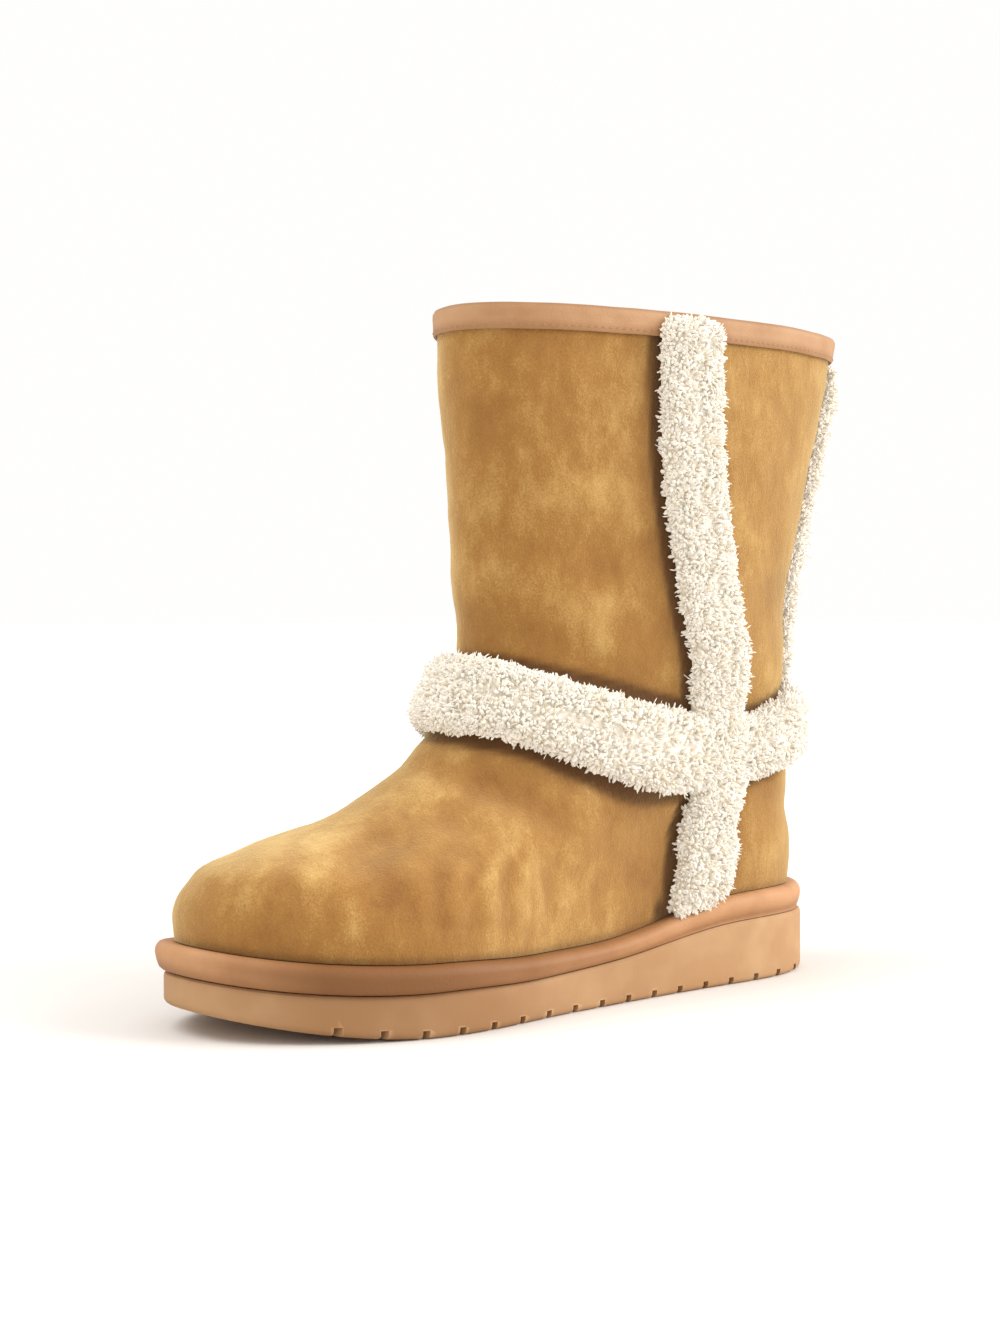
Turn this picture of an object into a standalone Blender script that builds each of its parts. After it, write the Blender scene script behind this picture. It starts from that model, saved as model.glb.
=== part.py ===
"""Sheepskin ankle boot for the left foot, empty and standing on its sole.

Metres, +Z up. The toe points along -Y and the outer side of the foot is +X.
The outsole is a wedge of foam with a cut tread. A wrapped midsole sits on it and stands
proud of it round the toe. The upper is one hollow skin of sheepskin, open at the collar
and underneath, with its wool trim laid over the seams: a band round the ankle, a strip
down each side and a strip down the back. A bound edge runs round the collar.

A place on the upper is given by its turn and its rise. The turn goes once round the
boot, from 0 at the back through 0.25 at the outer side, 0.5 at the toe and 0.75 at the
inner side. The rise is the height over the floor, taken at the heel.
"""

import math

import bmesh
import bpy
import numpy as np

# Sole
SOLE_LENGTH = 0.284
BALL_WIDTH = 0.108
WAIST_WIDTH = 0.084
HEEL_WIDTH = 0.080
HEEL_THICKNESS = 0.0245
WAIST_THICKNESS = 0.0162
BALL_THICKNESS = 0.0154
TOE_THICKNESS = 0.0110
TOE_SPRING = 0.0105
SOLE_CHAMFER = 0.0014
TOP_BEVEL = 0.0008

# Midsole, the wrapped band between the outsole and the upper
MIDSOLE_HEEL = 0.0104
MIDSOLE_WAIST = 0.0066
MIDSOLE_TOE = 0.0104
MIDSOLE_OVERHANG = 0.0030
MIDSOLE_ROLL = 0.0022

# Tread
GROOVE_WIDTH = 0.0026
GROOVE_DEPTH = 0.0030
LUG_LENGTH = 0.0140
GROOVE_START = 0.080
GROOVE_END = 0.900
ARCH_HOLLOW = 0.0018

# Upper
WALL = 0.0030
ANKLE_HEIGHT = 0.1240
COLLAR_HEIGHT = 0.2560
COLLAR_LENGTH = 0.1920
COLLAR_WIDTH = 0.0780
COLLAR_CENTRE = 0.0748

# Collar binding
BINDING_DROP = 0.0085
BINDING_THICKNESS = 0.0012

# Insole
INSOLE_THICKNESS = 0.0050
INSOLE_CLEARANCE = 0.0010

# Wool trim
TRIM_HEIGHT = 0.0094
BAND_WIDTH = 0.0310
SIDE_STRIP_WIDTH = 0.0275
BACK_STRIP_WIDTH = 0.0270
STRIP_DROP = 0.0022
BINDING_RAMP = 0.0032
LOCK_LENGTH = 0.0024
LOCK_NOTCH = 0.12

# Gaps between touching pieces
GAP = 0.0003
TRIM_GAP = 0.0005

# Looks, with colours in linear light
FOAM = {"colour": (0.66, 0.41, 0.22), "roughness": 0.75}
WRAP = {"colour": (0.58, 0.34, 0.20), "roughness": 0.70}
SUEDE = {"colour": (0.52, 0.28, 0.09), "roughness": 0.95}
BOUND_EDGE = {"colour": (0.55, 0.30, 0.16), "roughness": 0.80}
WOOL = {"colour": (0.84, 0.79, 0.69), "roughness": 1.00}

# How finely the round shapes are cut
SOLE_STEPS = 64
UPPER_STEPS = 64


def table(names, *rows):
    """Rows whose values are read by their column's name."""
    return [dict(zip(names, row, strict=True)) for row in rows]


# The sole's plan, from the heel end to the toe end.
# along: share of the length. width: the size that the row's half width follows. fullness:
# the half width over that size, before the ends are rounded. swing: how far the middle
# line lies to the outer side, over the ball width.
SOLE_PLAN = table(
    ("along", "width", "fullness", "swing"),
    (0.00, HEEL_WIDTH, 0.880, 0.000),
    (0.25, HEEL_WIDTH, 0.575, 0.005),
    (0.50, WAIST_WIDTH, 0.525, 0.038),
    (0.75, BALL_WIDTH, 0.580, 0.026),
    (1.00, BALL_WIDTH, 0.650, -0.036),
)

# Thickness of the outsole and of the midsole.
SOLE_DEPTH = table(
    ("along", "outsole", "midsole"),
    (0.00, HEEL_THICKNESS, MIDSOLE_HEEL),
    (0.22, HEEL_THICKNESS * 0.97, MIDSOLE_HEEL * 0.94),
    (0.44, WAIST_THICKNESS, MIDSOLE_WAIST),
    (0.58, BALL_THICKNESS * 0.94, MIDSOLE_TOE * 0.76),
    (0.72, BALL_THICKNESS, MIDSOLE_TOE * 0.90),
    (1.00, TOE_THICKNESS, MIDSOLE_TOE),
)
SPRING_START = 0.74

# Sections of the foot, from the feather edge up to the ankle.
# rise: share of the way from the feather to the ankle. back and front: the section's ends,
# forward of the heel end, as shares of the sole's length. The rest are half widths before
# the ends are rounded: heel_end and heel over the heel width, waist over the waist width,
# ball and toe_end over the ball width.
FOOT_SECTIONS = table(
    ("rise", "back", "front", "heel_end", "heel", "waist", "ball", "toe_end"),
    (0.00, 0.024, 0.977, 0.830, 0.500, 0.435, 0.530, 0.590),
    (0.12, 0.023, 0.978, 0.860, 0.525, 0.455, 0.545, 0.605),
    (0.22, 0.024, 0.963, 0.860, 0.520, 0.460, 0.530, 0.590),
    (0.29, 0.026, 0.940, 0.850, 0.510, 0.460, 0.500, 0.560),
    (0.36, 0.030, 0.880, 0.840, 0.500, 0.460, 0.450, 0.500),
    (0.44, 0.033, 0.790, 0.820, 0.490, 0.460, 0.400, 0.430),
    (0.54, 0.035, 0.712, 0.780, 0.480, 0.460, 0.360, 0.370),
    (0.66, 0.036, 0.651, 0.730, 0.470, 0.455, 0.335, 0.330),
    (0.82, 0.036, 0.603, 0.680, 0.465, 0.450, 0.325, 0.310),
)

# Sections of the shaft, from the ankle up to the collar.
# rise: share of the way from the ankle to the collar. back and front: the section's ends
# behind and in front of the collar's centre, over the collar's length. The rest are half
# widths over the collar's width.
SHAFT_SECTIONS = table(
    ("rise", "back", "front", "heel_end", "heel", "waist", "ball", "toe_end"),
    (0.00, 0.338, 0.453, 0.640, 0.530, 0.515, 0.490, 0.470),
    (0.20, 0.355, 0.457, 0.620, 0.530, 0.515, 0.500, 0.500),
    (0.50, 0.408, 0.470, 0.610, 0.530, 0.510, 0.510, 0.550),
    (0.80, 0.468, 0.486, 0.610, 0.530, 0.505, 0.520, 0.580),
    (1.00, 0.500, 0.490, 0.610, 0.530, 0.500, 0.520, 0.600),
)

# Middle line of the band round the ankle. rise: share of the ankle's height. width: share
# of the band's width.
BAND_LINE = table(
    ("turn", "rise", "width"),
    (0.00, 0.835, 0.88),
    (0.09, 0.795, 0.87),
    (0.17, 0.735, 0.87),
    (0.25, 0.768, 1.20),
    (0.30, 0.820, 1.10),
    (0.36, 0.876, 0.98),
    (0.43, 0.912, 1.00),
    (0.50, 0.922, 1.00),
)

# Middle line of a side strip. rise: share of the collar's height. width: share of the
# strip's width.
SIDE_LINE = table(
    ("rise", "turn", "width"),
    (0.13, 0.177, 1.20),
    (0.20, 0.170, 1.04),
    (0.27, 0.174, 1.00),
    (0.44, 0.213, 1.00),
    (0.60, 0.238, 1.00),
    (0.75, 0.258, 1.00),
    (1.00, 0.272, 1.00),
)

COLUMNS = ("heel_end", "heel", "waist", "ball", "toe_end")


def smooth(knots, values, at):
    """A smooth curve through the rows (knots, values), read at the places asked for."""
    knots = np.asarray(knots, float)
    values = np.asarray(values, float)
    at = np.clip(np.asarray(at, float), knots[0], knots[-1])
    step = np.diff(knots)
    wide = step.reshape((-1,) + (1,) * (values.ndim - 1))
    slope = np.diff(values, axis=0) / wide
    tangent = np.empty_like(values)
    tangent[0], tangent[-1] = slope[0], slope[-1]
    tangent[1:-1] = (slope[:-1] * wide[1:] + slope[1:] * wide[:-1]) / (wide[:-1] + wide[1:])
    i = np.clip(np.searchsorted(knots, at, side="right") - 1, 0, len(step) - 1)
    t = ((at - knots[i]) / step[i]).reshape(at.shape + (1,) * (values.ndim - 1))
    span = step[i].reshape(t.shape)
    return (
        values[i] * (1 + 2 * t) * (1 - t) ** 2
        + tangent[i] * span * t * (1 - t) ** 2
        + values[i + 1] * t * t * (3 - 2 * t)
        + tangent[i + 1] * span * t * t * (t - 1)
    )


def ease(t):
    """0 below 0, 1 above 1, and a soft step between."""
    t = np.clip(t, 0.0, 1.0)
    return t * t * (3 - 2 * t)


def column(table, name):
    return [row[name] for row in table]


# The sole


def sole_half_width(along):
    rows = [row["fullness"] * row["width"] for row in SOLE_PLAN]
    return smooth(column(SOLE_PLAN, "along"), rows, along)


def sole_swing(along):
    return BALL_WIDTH * smooth(column(SOLE_PLAN, "along"), column(SOLE_PLAN, "swing"), along)


def sole_underside(along):
    """Height of the outsole's underside: flat, then the toe spring."""
    return TOE_SPRING * np.clip((along - SPRING_START) / (1 - SPRING_START), 0, 1) ** 1.8


def sole_top(along):
    """Height of the outsole's top, where the midsole sits."""
    depth = smooth(column(SOLE_DEPTH, "along"), column(SOLE_DEPTH, "outsole"), along)
    return sole_underside(along) + depth


def midsole_thickness(along):
    return smooth(column(SOLE_DEPTH, "along"), column(SOLE_DEPTH, "midsole"), along)


def feather_height(along):
    """Height of the midsole's top, where the upper sits."""
    return sole_top(along) + GAP + midsole_thickness(along)


def turns(count):
    return np.arange(count) / count


def sole_ring(inset):
    """Plan of the sole's edge, brought in by inset, which is one number or one for each
    turn. Returns the points (x, y) and each point's share of the length."""
    turn = turns(SOLE_STEPS)
    angle = 2 * math.pi * turn
    along = (1 - np.cos(angle)) / 2
    x = sole_swing(along) + sole_half_width(along) * np.sin(angle)
    y = -SOLE_LENGTH * along
    edge = np.stack([x, y], axis=1)
    run = np.roll(edge, -1, axis=0) - np.roll(edge, 1, axis=0)
    outward = np.stack([run[:, 1], -run[:, 0]], axis=1)
    outward /= -np.linalg.norm(outward, axis=1)[:, None]
    edge = edge - outward * np.broadcast_to(inset, turn.shape)[:, None]
    return edge, np.clip(-edge[:, 1] / SOLE_LENGTH, 0, 1)


def sole_layer(inset, height):
    """One ring of points at that inset. height is a function of the share of length."""
    edge, along = sole_ring(inset)
    return np.column_stack([edge, height(along)])


# The upper


def feather_rise():
    return float(feather_height(0.0)) + GAP


def section_rows():
    """Every section as (rise, back, front, five half widths), in metres."""
    low, high = feather_rise(), ANKLE_HEIGHT
    widths = dict(zip(COLUMNS, (HEEL_WIDTH, HEEL_WIDTH, WAIST_WIDTH, BALL_WIDTH, BALL_WIDTH)))
    rows = []
    for row in FOOT_SECTIONS:
        rise = low + row["rise"] * (high - low)
        ends = [row["back"] * SOLE_LENGTH, row["front"] * SOLE_LENGTH]
        rows.append([rise] + ends + [row[name] * widths[name] for name in COLUMNS])
    for row in SHAFT_SECTIONS:
        rise = high + row["rise"] * (COLLAR_HEIGHT - high)
        back = COLLAR_CENTRE - row["back"] * COLLAR_LENGTH
        front = COLLAR_CENTRE + row["front"] * COLLAR_LENGTH
        rows.append([rise, back, front] + [row[name] * COLLAR_WIDTH for name in COLUMNS])
    return np.array(rows)


SECTIONS = section_rows()


def upper_point(turn, rise):
    """Points of the upper's outer face at those turns and rises."""
    turn, rise = np.broadcast_arrays(np.asarray(turn, float), np.asarray(rise, float))
    shape = turn.shape
    turn, rise = turn.ravel(), rise.ravel()
    row = smooth(SECTIONS[:, 0], SECTIONS[:, 1:], rise)
    angle = 2 * math.pi * turn
    along = (1 - np.cos(angle)) / 2
    station = np.clip(along * 4, 0, 4)
    weights = smooth(np.arange(5), np.eye(5), station)
    half = (row[:, 2:] * weights).sum(axis=1)
    y = -(row[:, 0] + (row[:, 1] - row[:, 0]) * along)
    share = np.clip(-y / SOLE_LENGTH, 0, 1)
    foot = 1 - ease((rise - SECTIONS[0, 0]) / (ANKLE_HEIGHT - SECTIONS[0, 0]))
    x = sole_swing(share) * foot + half * np.sin(angle)
    z = rise + (feather_height(share) - feather_height(0.0)) * foot
    return np.stack([x, y, z], axis=-1).reshape(shape + (3,))


def upper_normal(turn, rise):
    """Outward directions of the upper's outer face."""
    d_turn, d_rise = 1e-4, 1e-5
    low, high = SECTIONS[0, 0], SECTIONS[-1, 0]
    around = upper_point(np.add(turn, d_turn), rise) - upper_point(np.subtract(turn, d_turn), rise)
    up = upper_point(turn, np.clip(np.add(rise, d_rise), low, high))
    up = up - upper_point(turn, np.clip(np.subtract(rise, d_rise), low, high))
    out = np.cross(up, around)
    return out / np.linalg.norm(out, axis=-1, keepdims=True)


def off_upper(turn, rise, distance):
    """Points that far off the upper's outer face, outwards."""
    distance = np.asarray(distance, float)
    return upper_point(turn, rise) + upper_normal(turn, rise) * distance[..., None]


# Meshes


def add_object(name, points, faces, material):
    """An object from points and faces, with its faces turned outwards."""
    mesh = bpy.data.meshes.new(name)
    mesh.from_pydata([tuple(map(float, p)) for p in points], [], faces)
    shape = bmesh.new()
    shape.from_mesh(mesh)
    bmesh.ops.recalc_face_normals(shape, faces=shape.faces)
    shape.to_mesh(mesh)
    shape.free()
    mesh.materials.append(material)
    mesh.shade_smooth()
    mesh.set_sharp_from_angle(angle=math.radians(40))
    piece = bpy.data.objects.new(name, mesh)
    bpy.context.scene.collection.objects.link(piece)
    return piece


def join_rings(rings, closed):
    """Faces between each ring and the next, and from the last to the first if closed."""
    count = len(rings[0])
    faces = []
    for k in range(len(rings) - (not closed)):
        low, high = k * count, (k + 1) % len(rings) * count
        for i in range(count):
            j = (i + 1) % count
            faces.append((low + i, low + j, high + j, high + i))
    return faces


def cap_across(start, count):
    """Faces that fill a ring from side to side. Point 0 is its heel end, and the point
    halfway round its toe end."""
    half = count // 2
    faces = [(start, start + 1, start + count - 1)]
    for i in range(1, half - 1):
        faces.append((start + i, start + i + 1, start + count - i - 1, start + count - i))
    faces.append((start + half - 1, start + half, start + half + 1))
    return faces


def plate(name, rings, material):
    """A solid from a stack of rings, filled across at the first and the last."""
    count = len(rings[0])
    faces = join_rings(rings, closed=False)
    faces += cap_across(0, count) + cap_across((len(rings) - 1) * count, count)
    return add_object(name, np.concatenate(rings), faces, material)


def tube(name, rings, material):
    """A hollow solid whose wall is a closed loop of rings."""
    return add_object(name, np.concatenate(rings), join_rings(rings, closed=True), material)


def finish(name, look):
    """A material of that name, with a look's colour and roughness."""
    material = bpy.data.materials.new(name)
    material.use_nodes = True
    shader = material.node_tree.nodes["Principled BSDF"]
    shader.inputs["Base Color"].default_value = (*look["colour"], 1.0)
    shader.inputs["Roughness"].default_value = look["roughness"]
    shader.inputs["Metallic"].default_value = 0.0
    return material


# The pieces


def toe_overhang():
    """How far the outsole is set in under the midsole: full at the toe, nothing at the heel."""
    along = (1 - np.cos(2 * math.pi * turns(SOLE_STEPS))) / 2
    return MIDSOLE_OVERHANG * ease((along - 0.20) / 0.60)


def outsole(material):
    """The foam wedge: chamfered underneath, bevelled under the midsole, with a hollow
    under the arch and a cut tread."""
    inset = toe_overhang()
    under = [
        sole_layer(inset + SOLE_CHAMFER * 1.6, sole_underside),
        sole_layer(inset + SOLE_CHAMFER * 0.4, lambda s: sole_underside(s) + SOLE_CHAMFER * 0.5),
        sole_layer(inset, lambda s: sole_underside(s) + SOLE_CHAMFER * 1.4),
    ]
    side = [
        sole_layer(inset, lambda s: sole_top(s) - TOP_BEVEL * 2),
        sole_layer(inset + TOP_BEVEL, sole_top),
    ]
    sole = plate("outsole", under + side, material)
    for cutter in (arch_cutter(material), tread_cutter(material)):
        cut = sole.modifiers.new(cutter.name, "BOOLEAN")
        cut.operation = "DIFFERENCE"
        cut.solver = "EXACT"
        cut.object = cutter
    return sole


def hide_cutter(cutter):
    """A cutter only takes material away, so it isn't shown."""
    cutter.hide_render = True
    cutter.display_type = "WIRE"
    return cutter


def arch_cutter(material):
    """A shallow hollow under the arch, inside the sole's edge."""
    angle = 2 * math.pi * turns(24)
    x = float(sole_swing(0.45)) + 0.26 * WAIST_WIDTH * np.sin(angle)
    y = -SOLE_LENGTH * (0.45 - 0.105 * np.cos(angle))
    rings = [np.column_stack([x, y, np.full(24, z)]) for z in (-ARCH_HOLLOW, ARCH_HOLLOW)]
    return hide_cutter(plate("arch_cutter", rings, material))


def tread_cutter(material):
    """Chevron grooves across the sole, from the heel to the toe spring."""
    points, faces = [], []
    for along in np.arange(GROOVE_START, GROOVE_END, LUG_LENGTH / SOLE_LENGTH):
        add_groove(points, faces, -SOLE_LENGTH * along, float(sole_underside(along)))
    return hide_cutter(add_object("tread_cutter", points, faces, material))


def add_groove(points, faces, y, floor):
    """One chevron groove: a bar with a bend at the middle line."""
    reach = BALL_WIDTH
    sweep = LUG_LENGTH * 0.35
    first = len(points)
    for x, back in ((-reach, sweep), (0.0, 0.0), (reach, sweep)):
        for dy in (-GROOVE_WIDTH / 2, GROOVE_WIDTH / 2):
            for z in (-GROOVE_DEPTH, floor + GROOVE_DEPTH):
                points.append((x, y + back + dy, z))
    for a in (first, first + 4):
        b = a + 4
        faces += [(a, a + 1, b + 1, b), (a + 2, b + 2, b + 3, a + 3)]
        faces += [(a, b, b + 2, a + 2), (a + 1, a + 3, b + 3, b + 1)]
    faces += [(first, first + 2, first + 3, first + 1)]
    faces += [(first + 8, first + 9, first + 11, first + 10)]


def midsole(material):
    """The wrapped band: a plate with a rolled edge that bulges over the outsole."""
    base = lambda s: sole_top(s) + GAP
    lift = lambda share: (lambda s: base(s) + share * midsole_thickness(s))
    rings = [
        sole_layer(toe_overhang() + MIDSOLE_ROLL * 0.5, base),
        sole_layer(MIDSOLE_ROLL * 0.25, lift(0.10)),
        sole_layer(0.0, lift(0.35)),
        sole_layer(0.0, lift(0.62)),
        sole_layer(MIDSOLE_ROLL * 0.6, lift(0.88)),
        sole_layer(MIDSOLE_ROLL * 1.6, lift(1.0)),
    ]
    return plate("midsole", rings, material)


def upper_levels(count):
    """Rises of the upper's rings: close together over the toe and vamp, wider above."""
    low, high = feather_rise(), COLLAR_HEIGHT
    t = np.linspace(0, 1, count)
    return low + (high - low) * (0.62 * t + 0.38 * t * t)


def upper(material):
    """The sheepskin skin: outer face, collar rim, inner face and feather edge."""
    turn = turns(UPPER_STEPS)
    outer = [upper_point(turn, rise) for rise in upper_levels(23)]
    inner = [off_upper(turn, rise, np.full(UPPER_STEPS, -WALL)) for rise in upper_levels(13)[::-1]]
    inner[0][:, 2] = outer[-1][:, 2]
    inner[-1][:, 2] = outer[0][:, 2]
    return tube("upper", outer + inner, material)


def collar_binding(material):
    """A strip folded over the collar's rim: an outer skirt, the fold and an inner skirt."""
    turn = turns(UPPER_STEPS)
    profile = (
        # how far off the outer face, and how far below the rim
        (GAP + BINDING_THICKNESS, BINDING_DROP),
        (GAP + BINDING_THICKNESS, 0.0),
        (-WALL - GAP - BINDING_THICKNESS, 0.0),
        (-WALL - GAP - BINDING_THICKNESS, BINDING_DROP),
        (-WALL - GAP, BINDING_DROP),
        (-WALL - GAP, 0.0),
        (GAP, 0.0),
        (GAP, BINDING_DROP),
    )
    rim = upper_point(turn, COLLAR_HEIGHT)[:, 2]
    rings = []
    for place, (off, drop) in enumerate(profile):
        ring = off_upper(turn, COLLAR_HEIGHT - drop, np.full(UPPER_STEPS, off))
        if drop == 0.0:
            outside = place in (1, 2)
            ring[:, 2] = rim + GAP + (BINDING_THICKNESS if outside else 0.0)
        rings.append(ring)
    return tube("collar_binding", rings, material)


def insole(material):
    """The sheepskin footbed, inside the upper and on the midsole."""
    turn = turns(SOLE_STEPS)
    inside = -WALL - INSOLE_CLEARANCE
    rise = feather_rise()

    def ring(off, height):
        points = off_upper(turn, rise, np.full(SOLE_STEPS, off))
        share = np.clip(-points[:, 1] / SOLE_LENGTH, 0, 1)
        points[:, 2] = feather_height(share) + GAP + height
        return points

    rings = [
        ring(inside - 0.0006, 0.0),
        ring(inside, INSOLE_THICKNESS * 0.6),
        ring(inside - 0.0022, INSOLE_THICKNESS),
    ]
    return plate("insole", rings, material)


# Wool trim


def on_band(turn, name):
    """A column of the band's line at that turn, the same on both sides of the boot."""
    folded = np.minimum(np.mod(turn, 1.0), 1 - np.mod(turn, 1.0))
    return smooth(column(BAND_LINE, "turn"), column(BAND_LINE, name), folded)


def band_rise(turn, s):
    """Rise of the ankle band at s across it, from -1 at its lower edge to 1 at its upper."""
    middle = ANKLE_HEIGHT * on_band(turn, "rise")
    half = BAND_WIDTH / 2 * on_band(turn, "width")
    return middle + s * half * rise_per_metre(turn, middle)


def on_strip(rise, name):
    """A column of the side strips' line at that rise."""
    share = np.divide(rise, COLLAR_HEIGHT)
    return smooth(column(SIDE_LINE, "rise"), column(SIDE_LINE, name), share)


def side_turn(rise, side):
    """Turn of a side strip's middle line. side is 1 for the outer and -1 for the inner."""
    return on_strip(rise, "turn") if side > 0 else 1 - on_strip(rise, "turn")


def strip_reach(rise, middle):
    """Half a side strip's width at that rise, as a turn."""
    return SIDE_STRIP_WIDTH / 2 * on_strip(rise, "width") * turn_per_metre(middle, rise)


def turn_per_metre(turn, rise):
    step = 1e-3
    run = upper_point(turn + step, rise) - upper_point(turn - step, rise)
    return 2 * step / np.linalg.norm(run, axis=-1)


def rise_per_metre(turn, rise):
    step = 1e-4
    run = upper_point(turn, rise + step) - upper_point(turn, rise - step)
    return 2 * step / np.linalg.norm(run, axis=-1)


def lock(row, place):
    """Share by which the lock at that crossing of the grid stands out: a fixed, uneven
    pattern along and across the strip."""
    return (7 * place + 3 * row) % 11 / 10


def rounding(t, reach):
    """How full the strip is at t from a rounded end."""
    return math.sqrt(1 - (1 - min(t / reach, 1)) ** 2) if reach else 1.0


def cap_end(top, across, bottom, bed):
    """Faces that close a strip's end, between its dome and its bed."""
    bed = bed[::-1]
    last = bottom + len(bed) - 1
    faces = []
    i = j = 0
    while i < len(across) - 1 or j < len(bed) - 1:
        if j == len(bed) - 1 or (i < len(across) - 1 and across[i + 1] <= bed[j + 1]):
            faces.append((top + i, top + i + 1, last - j))
            i += 1
        else:
            faces.append((top + i, last - j - 1, last - j))
            j += 1
    return faces


def fur_strip(name, stops, bed_points, edges, round_start, round_end, material, lift=None):
    """A strip of cropped wool laid on the upper, with its locks standing out of it.

    edges(t, s) gives the turn and the rise at t along the strip and s across it, from -1
    to 1. The strip is a dome with steep sides, and its free ends are rounded off. stops
    are the places along it where it has a ring, and lift says how far each ring is lifted
    to pass over a piece that lies under the strip."""
    places = len(stops)
    lift = np.zeros(places) if lift is None else lift
    across = (-1.0, -0.97, -0.64, -0.22, 0.22, 0.64, 0.97, 1.0)
    crown = (0.10, 0.62, 0.94, 1.0, 1.0, 0.94, 0.62, 0.10)
    bed = np.linspace(0.95, -0.95, bed_points)
    rings = []
    for place, t in enumerate(stops):
        under = TRIM_GAP + lift[place]
        full = rounding(t, round_start) * rounding(1 - t, round_end)
        narrow, low = 0.55 + 0.45 * full, 0.30 + 0.70 * full
        free = 0.0 if place in (0, places - 1) else full
        ring = []
        for row, (s, share) in enumerate(zip(across, crown)):
            out = free * lock(row, place)
            height = TRIM_HEIGHT * share * low
            if row in (1, 6):
                s = s * (1 - LOCK_NOTCH * out)
            elif 1 < row < 6:
                height += LOCK_LENGTH * out
            ring.append(off_upper(*edges(t, s * narrow), np.asarray(under + height)))
        for s in bed:
            ring.append(off_upper(*edges(t, s * narrow), np.asarray(under)))
        rings.append(np.array(ring))
    count = len(rings[0])
    faces = join_rings(rings, closed=False)
    for first in (0, (places - 1) * count):
        faces += cap_end(first, across, first + len(across), bed)
    return add_object(name, np.concatenate(rings), faces, material)


def side_strip(name, side, material):
    """From just under the collar's rim, over the binding, down the seam to the midsole."""
    top = COLLAR_HEIGHT - STRIP_DROP
    edge = COLLAR_HEIGHT - BINDING_DROP - GAP * 2
    bottom = feather_rise() + TRIM_GAP
    over = np.linspace(top, edge, 4)
    below = np.linspace(edge - BINDING_RAMP, bottom, 34)
    stops = (top - np.concatenate([over, below])) / (top - bottom)
    lift = np.where(np.arange(len(stops)) < len(over), GAP + BINDING_THICKNESS, 0.0)

    def edges(t, s):
        rise = top + (bottom - top) * t
        middle = side_turn(rise, side)
        return middle + s * strip_reach(rise, middle), rise

    return fur_strip(name, stops, 3, edges, 0.03, 0.05, material, lift)


def strip_edge(rise, side, toward):
    """Turn of a side strip's edge, with the gap that a butted band keeps to it."""
    middle = side_turn(rise, side)
    gap = TRIM_GAP * turn_per_metre(middle, rise)
    return middle + toward * (strip_reach(rise, middle) + gap)


def ankle_band(name, front, places, bed_points, material):
    """Half of the band round the ankle, from one side strip to the other, over the
    instep if front, and otherwise round the back."""
    toward = 1 if front else -1

    def ends(rise):
        outer = strip_edge(rise, 1, toward)
        inner = strip_edge(rise, -1, -toward)
        return (outer, inner) if front else (outer, inner - 1)

    def edges(t, s):
        a, b = ends(ANKLE_HEIGHT * 0.74)
        rise = band_rise(a + (b - a) * t, s)
        a, b = ends(rise)
        return a + (b - a) * t, rise

    return fur_strip(name, np.linspace(0, 1, places), bed_points, edges, 0, 0, material)


def back_strip(name, material):
    """From the collar's binding down the back seam to the ankle band."""
    top = COLLAR_HEIGHT - BINDING_DROP - GAP * 2
    bottom = float(band_rise(0.0, 1)) + TRIM_GAP

    def edges(t, s):
        rise = top + (bottom - top) * t
        return s * BACK_STRIP_WIDTH / 2 * turn_per_metre(0.0, rise), rise

    return fur_strip(name, np.linspace(0, 1, 22), 7, edges, 0, 0, material)


def stand_on_floor():
    """Puts the frame's origin under the middle of the boot, on the floor."""
    pieces = [o for o in bpy.context.scene.objects if o.type == "MESH"]
    shown = [o for o in pieces if not o.hide_render]
    corners = np.array([v.co for o in shown for v in o.data.vertices])
    middle = (corners.min(axis=0) + corners.max(axis=0)) / 2
    for piece in pieces:
        for vertex in piece.data.vertices:
            vertex.co.x -= middle[0]
            vertex.co.y -= middle[1]


def build():
    for old in list(bpy.data.objects):
        bpy.data.objects.remove(old)
    outsole(finish("outsole", FOAM))
    midsole(finish("midsole", WRAP))
    upper(finish("upper", SUEDE))
    collar_binding(finish("collar_binding", BOUND_EDGE))
    insole(finish("insole", WOOL))
    side_strip("side_strip_outer", 1, finish("side_strip_outer", WOOL))
    side_strip("side_strip_inner", -1, finish("side_strip_inner", WOOL))
    ankle_band("ankle_band_front", True, 36, 5, finish("ankle_band_front", WOOL))
    ankle_band("ankle_band_back", False, 20, 3, finish("ankle_band_back", WOOL))
    back_strip("back_strip", finish("back_strip", WOOL))
    stand_on_floor()


build()
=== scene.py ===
"""The looks of a sheepskin boot for the left foot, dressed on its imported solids.

Metres, +Z up, the toe along -Y and the outer side of the foot along +X. A place on the
upper is given by its turn and its rise, as in the part: the turn goes once round the
boot, from 0 at the back through 0.25 at the outer side, 0.5 at the toe and 0.75 at the
inner side, and the rise is the height over the floor, taken at the heel.
"""

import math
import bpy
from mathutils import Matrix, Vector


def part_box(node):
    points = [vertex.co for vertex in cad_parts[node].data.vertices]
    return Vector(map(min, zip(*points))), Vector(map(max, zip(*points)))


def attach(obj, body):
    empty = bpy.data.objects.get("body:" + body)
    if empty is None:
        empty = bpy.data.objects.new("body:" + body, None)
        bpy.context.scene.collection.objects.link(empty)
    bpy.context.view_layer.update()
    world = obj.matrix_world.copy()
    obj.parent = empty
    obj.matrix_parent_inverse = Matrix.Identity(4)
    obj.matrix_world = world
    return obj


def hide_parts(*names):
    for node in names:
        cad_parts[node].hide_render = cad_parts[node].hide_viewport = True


bl_info = {
    "name": "Sheepskin boot",
    "version": (1, 0, 0),
    "blender": (4, 5, 0),
    "location": "3D View > Sidebar > Boot",
    "description": "Builds the looks of a sheepskin boot on its packed solids",
    "category": "Object",
}

import bmesh
import bpy
import numpy as np
from bpy.props import FloatProperty, FloatVectorProperty, PointerProperty
from mathutils import Vector, noise

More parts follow.
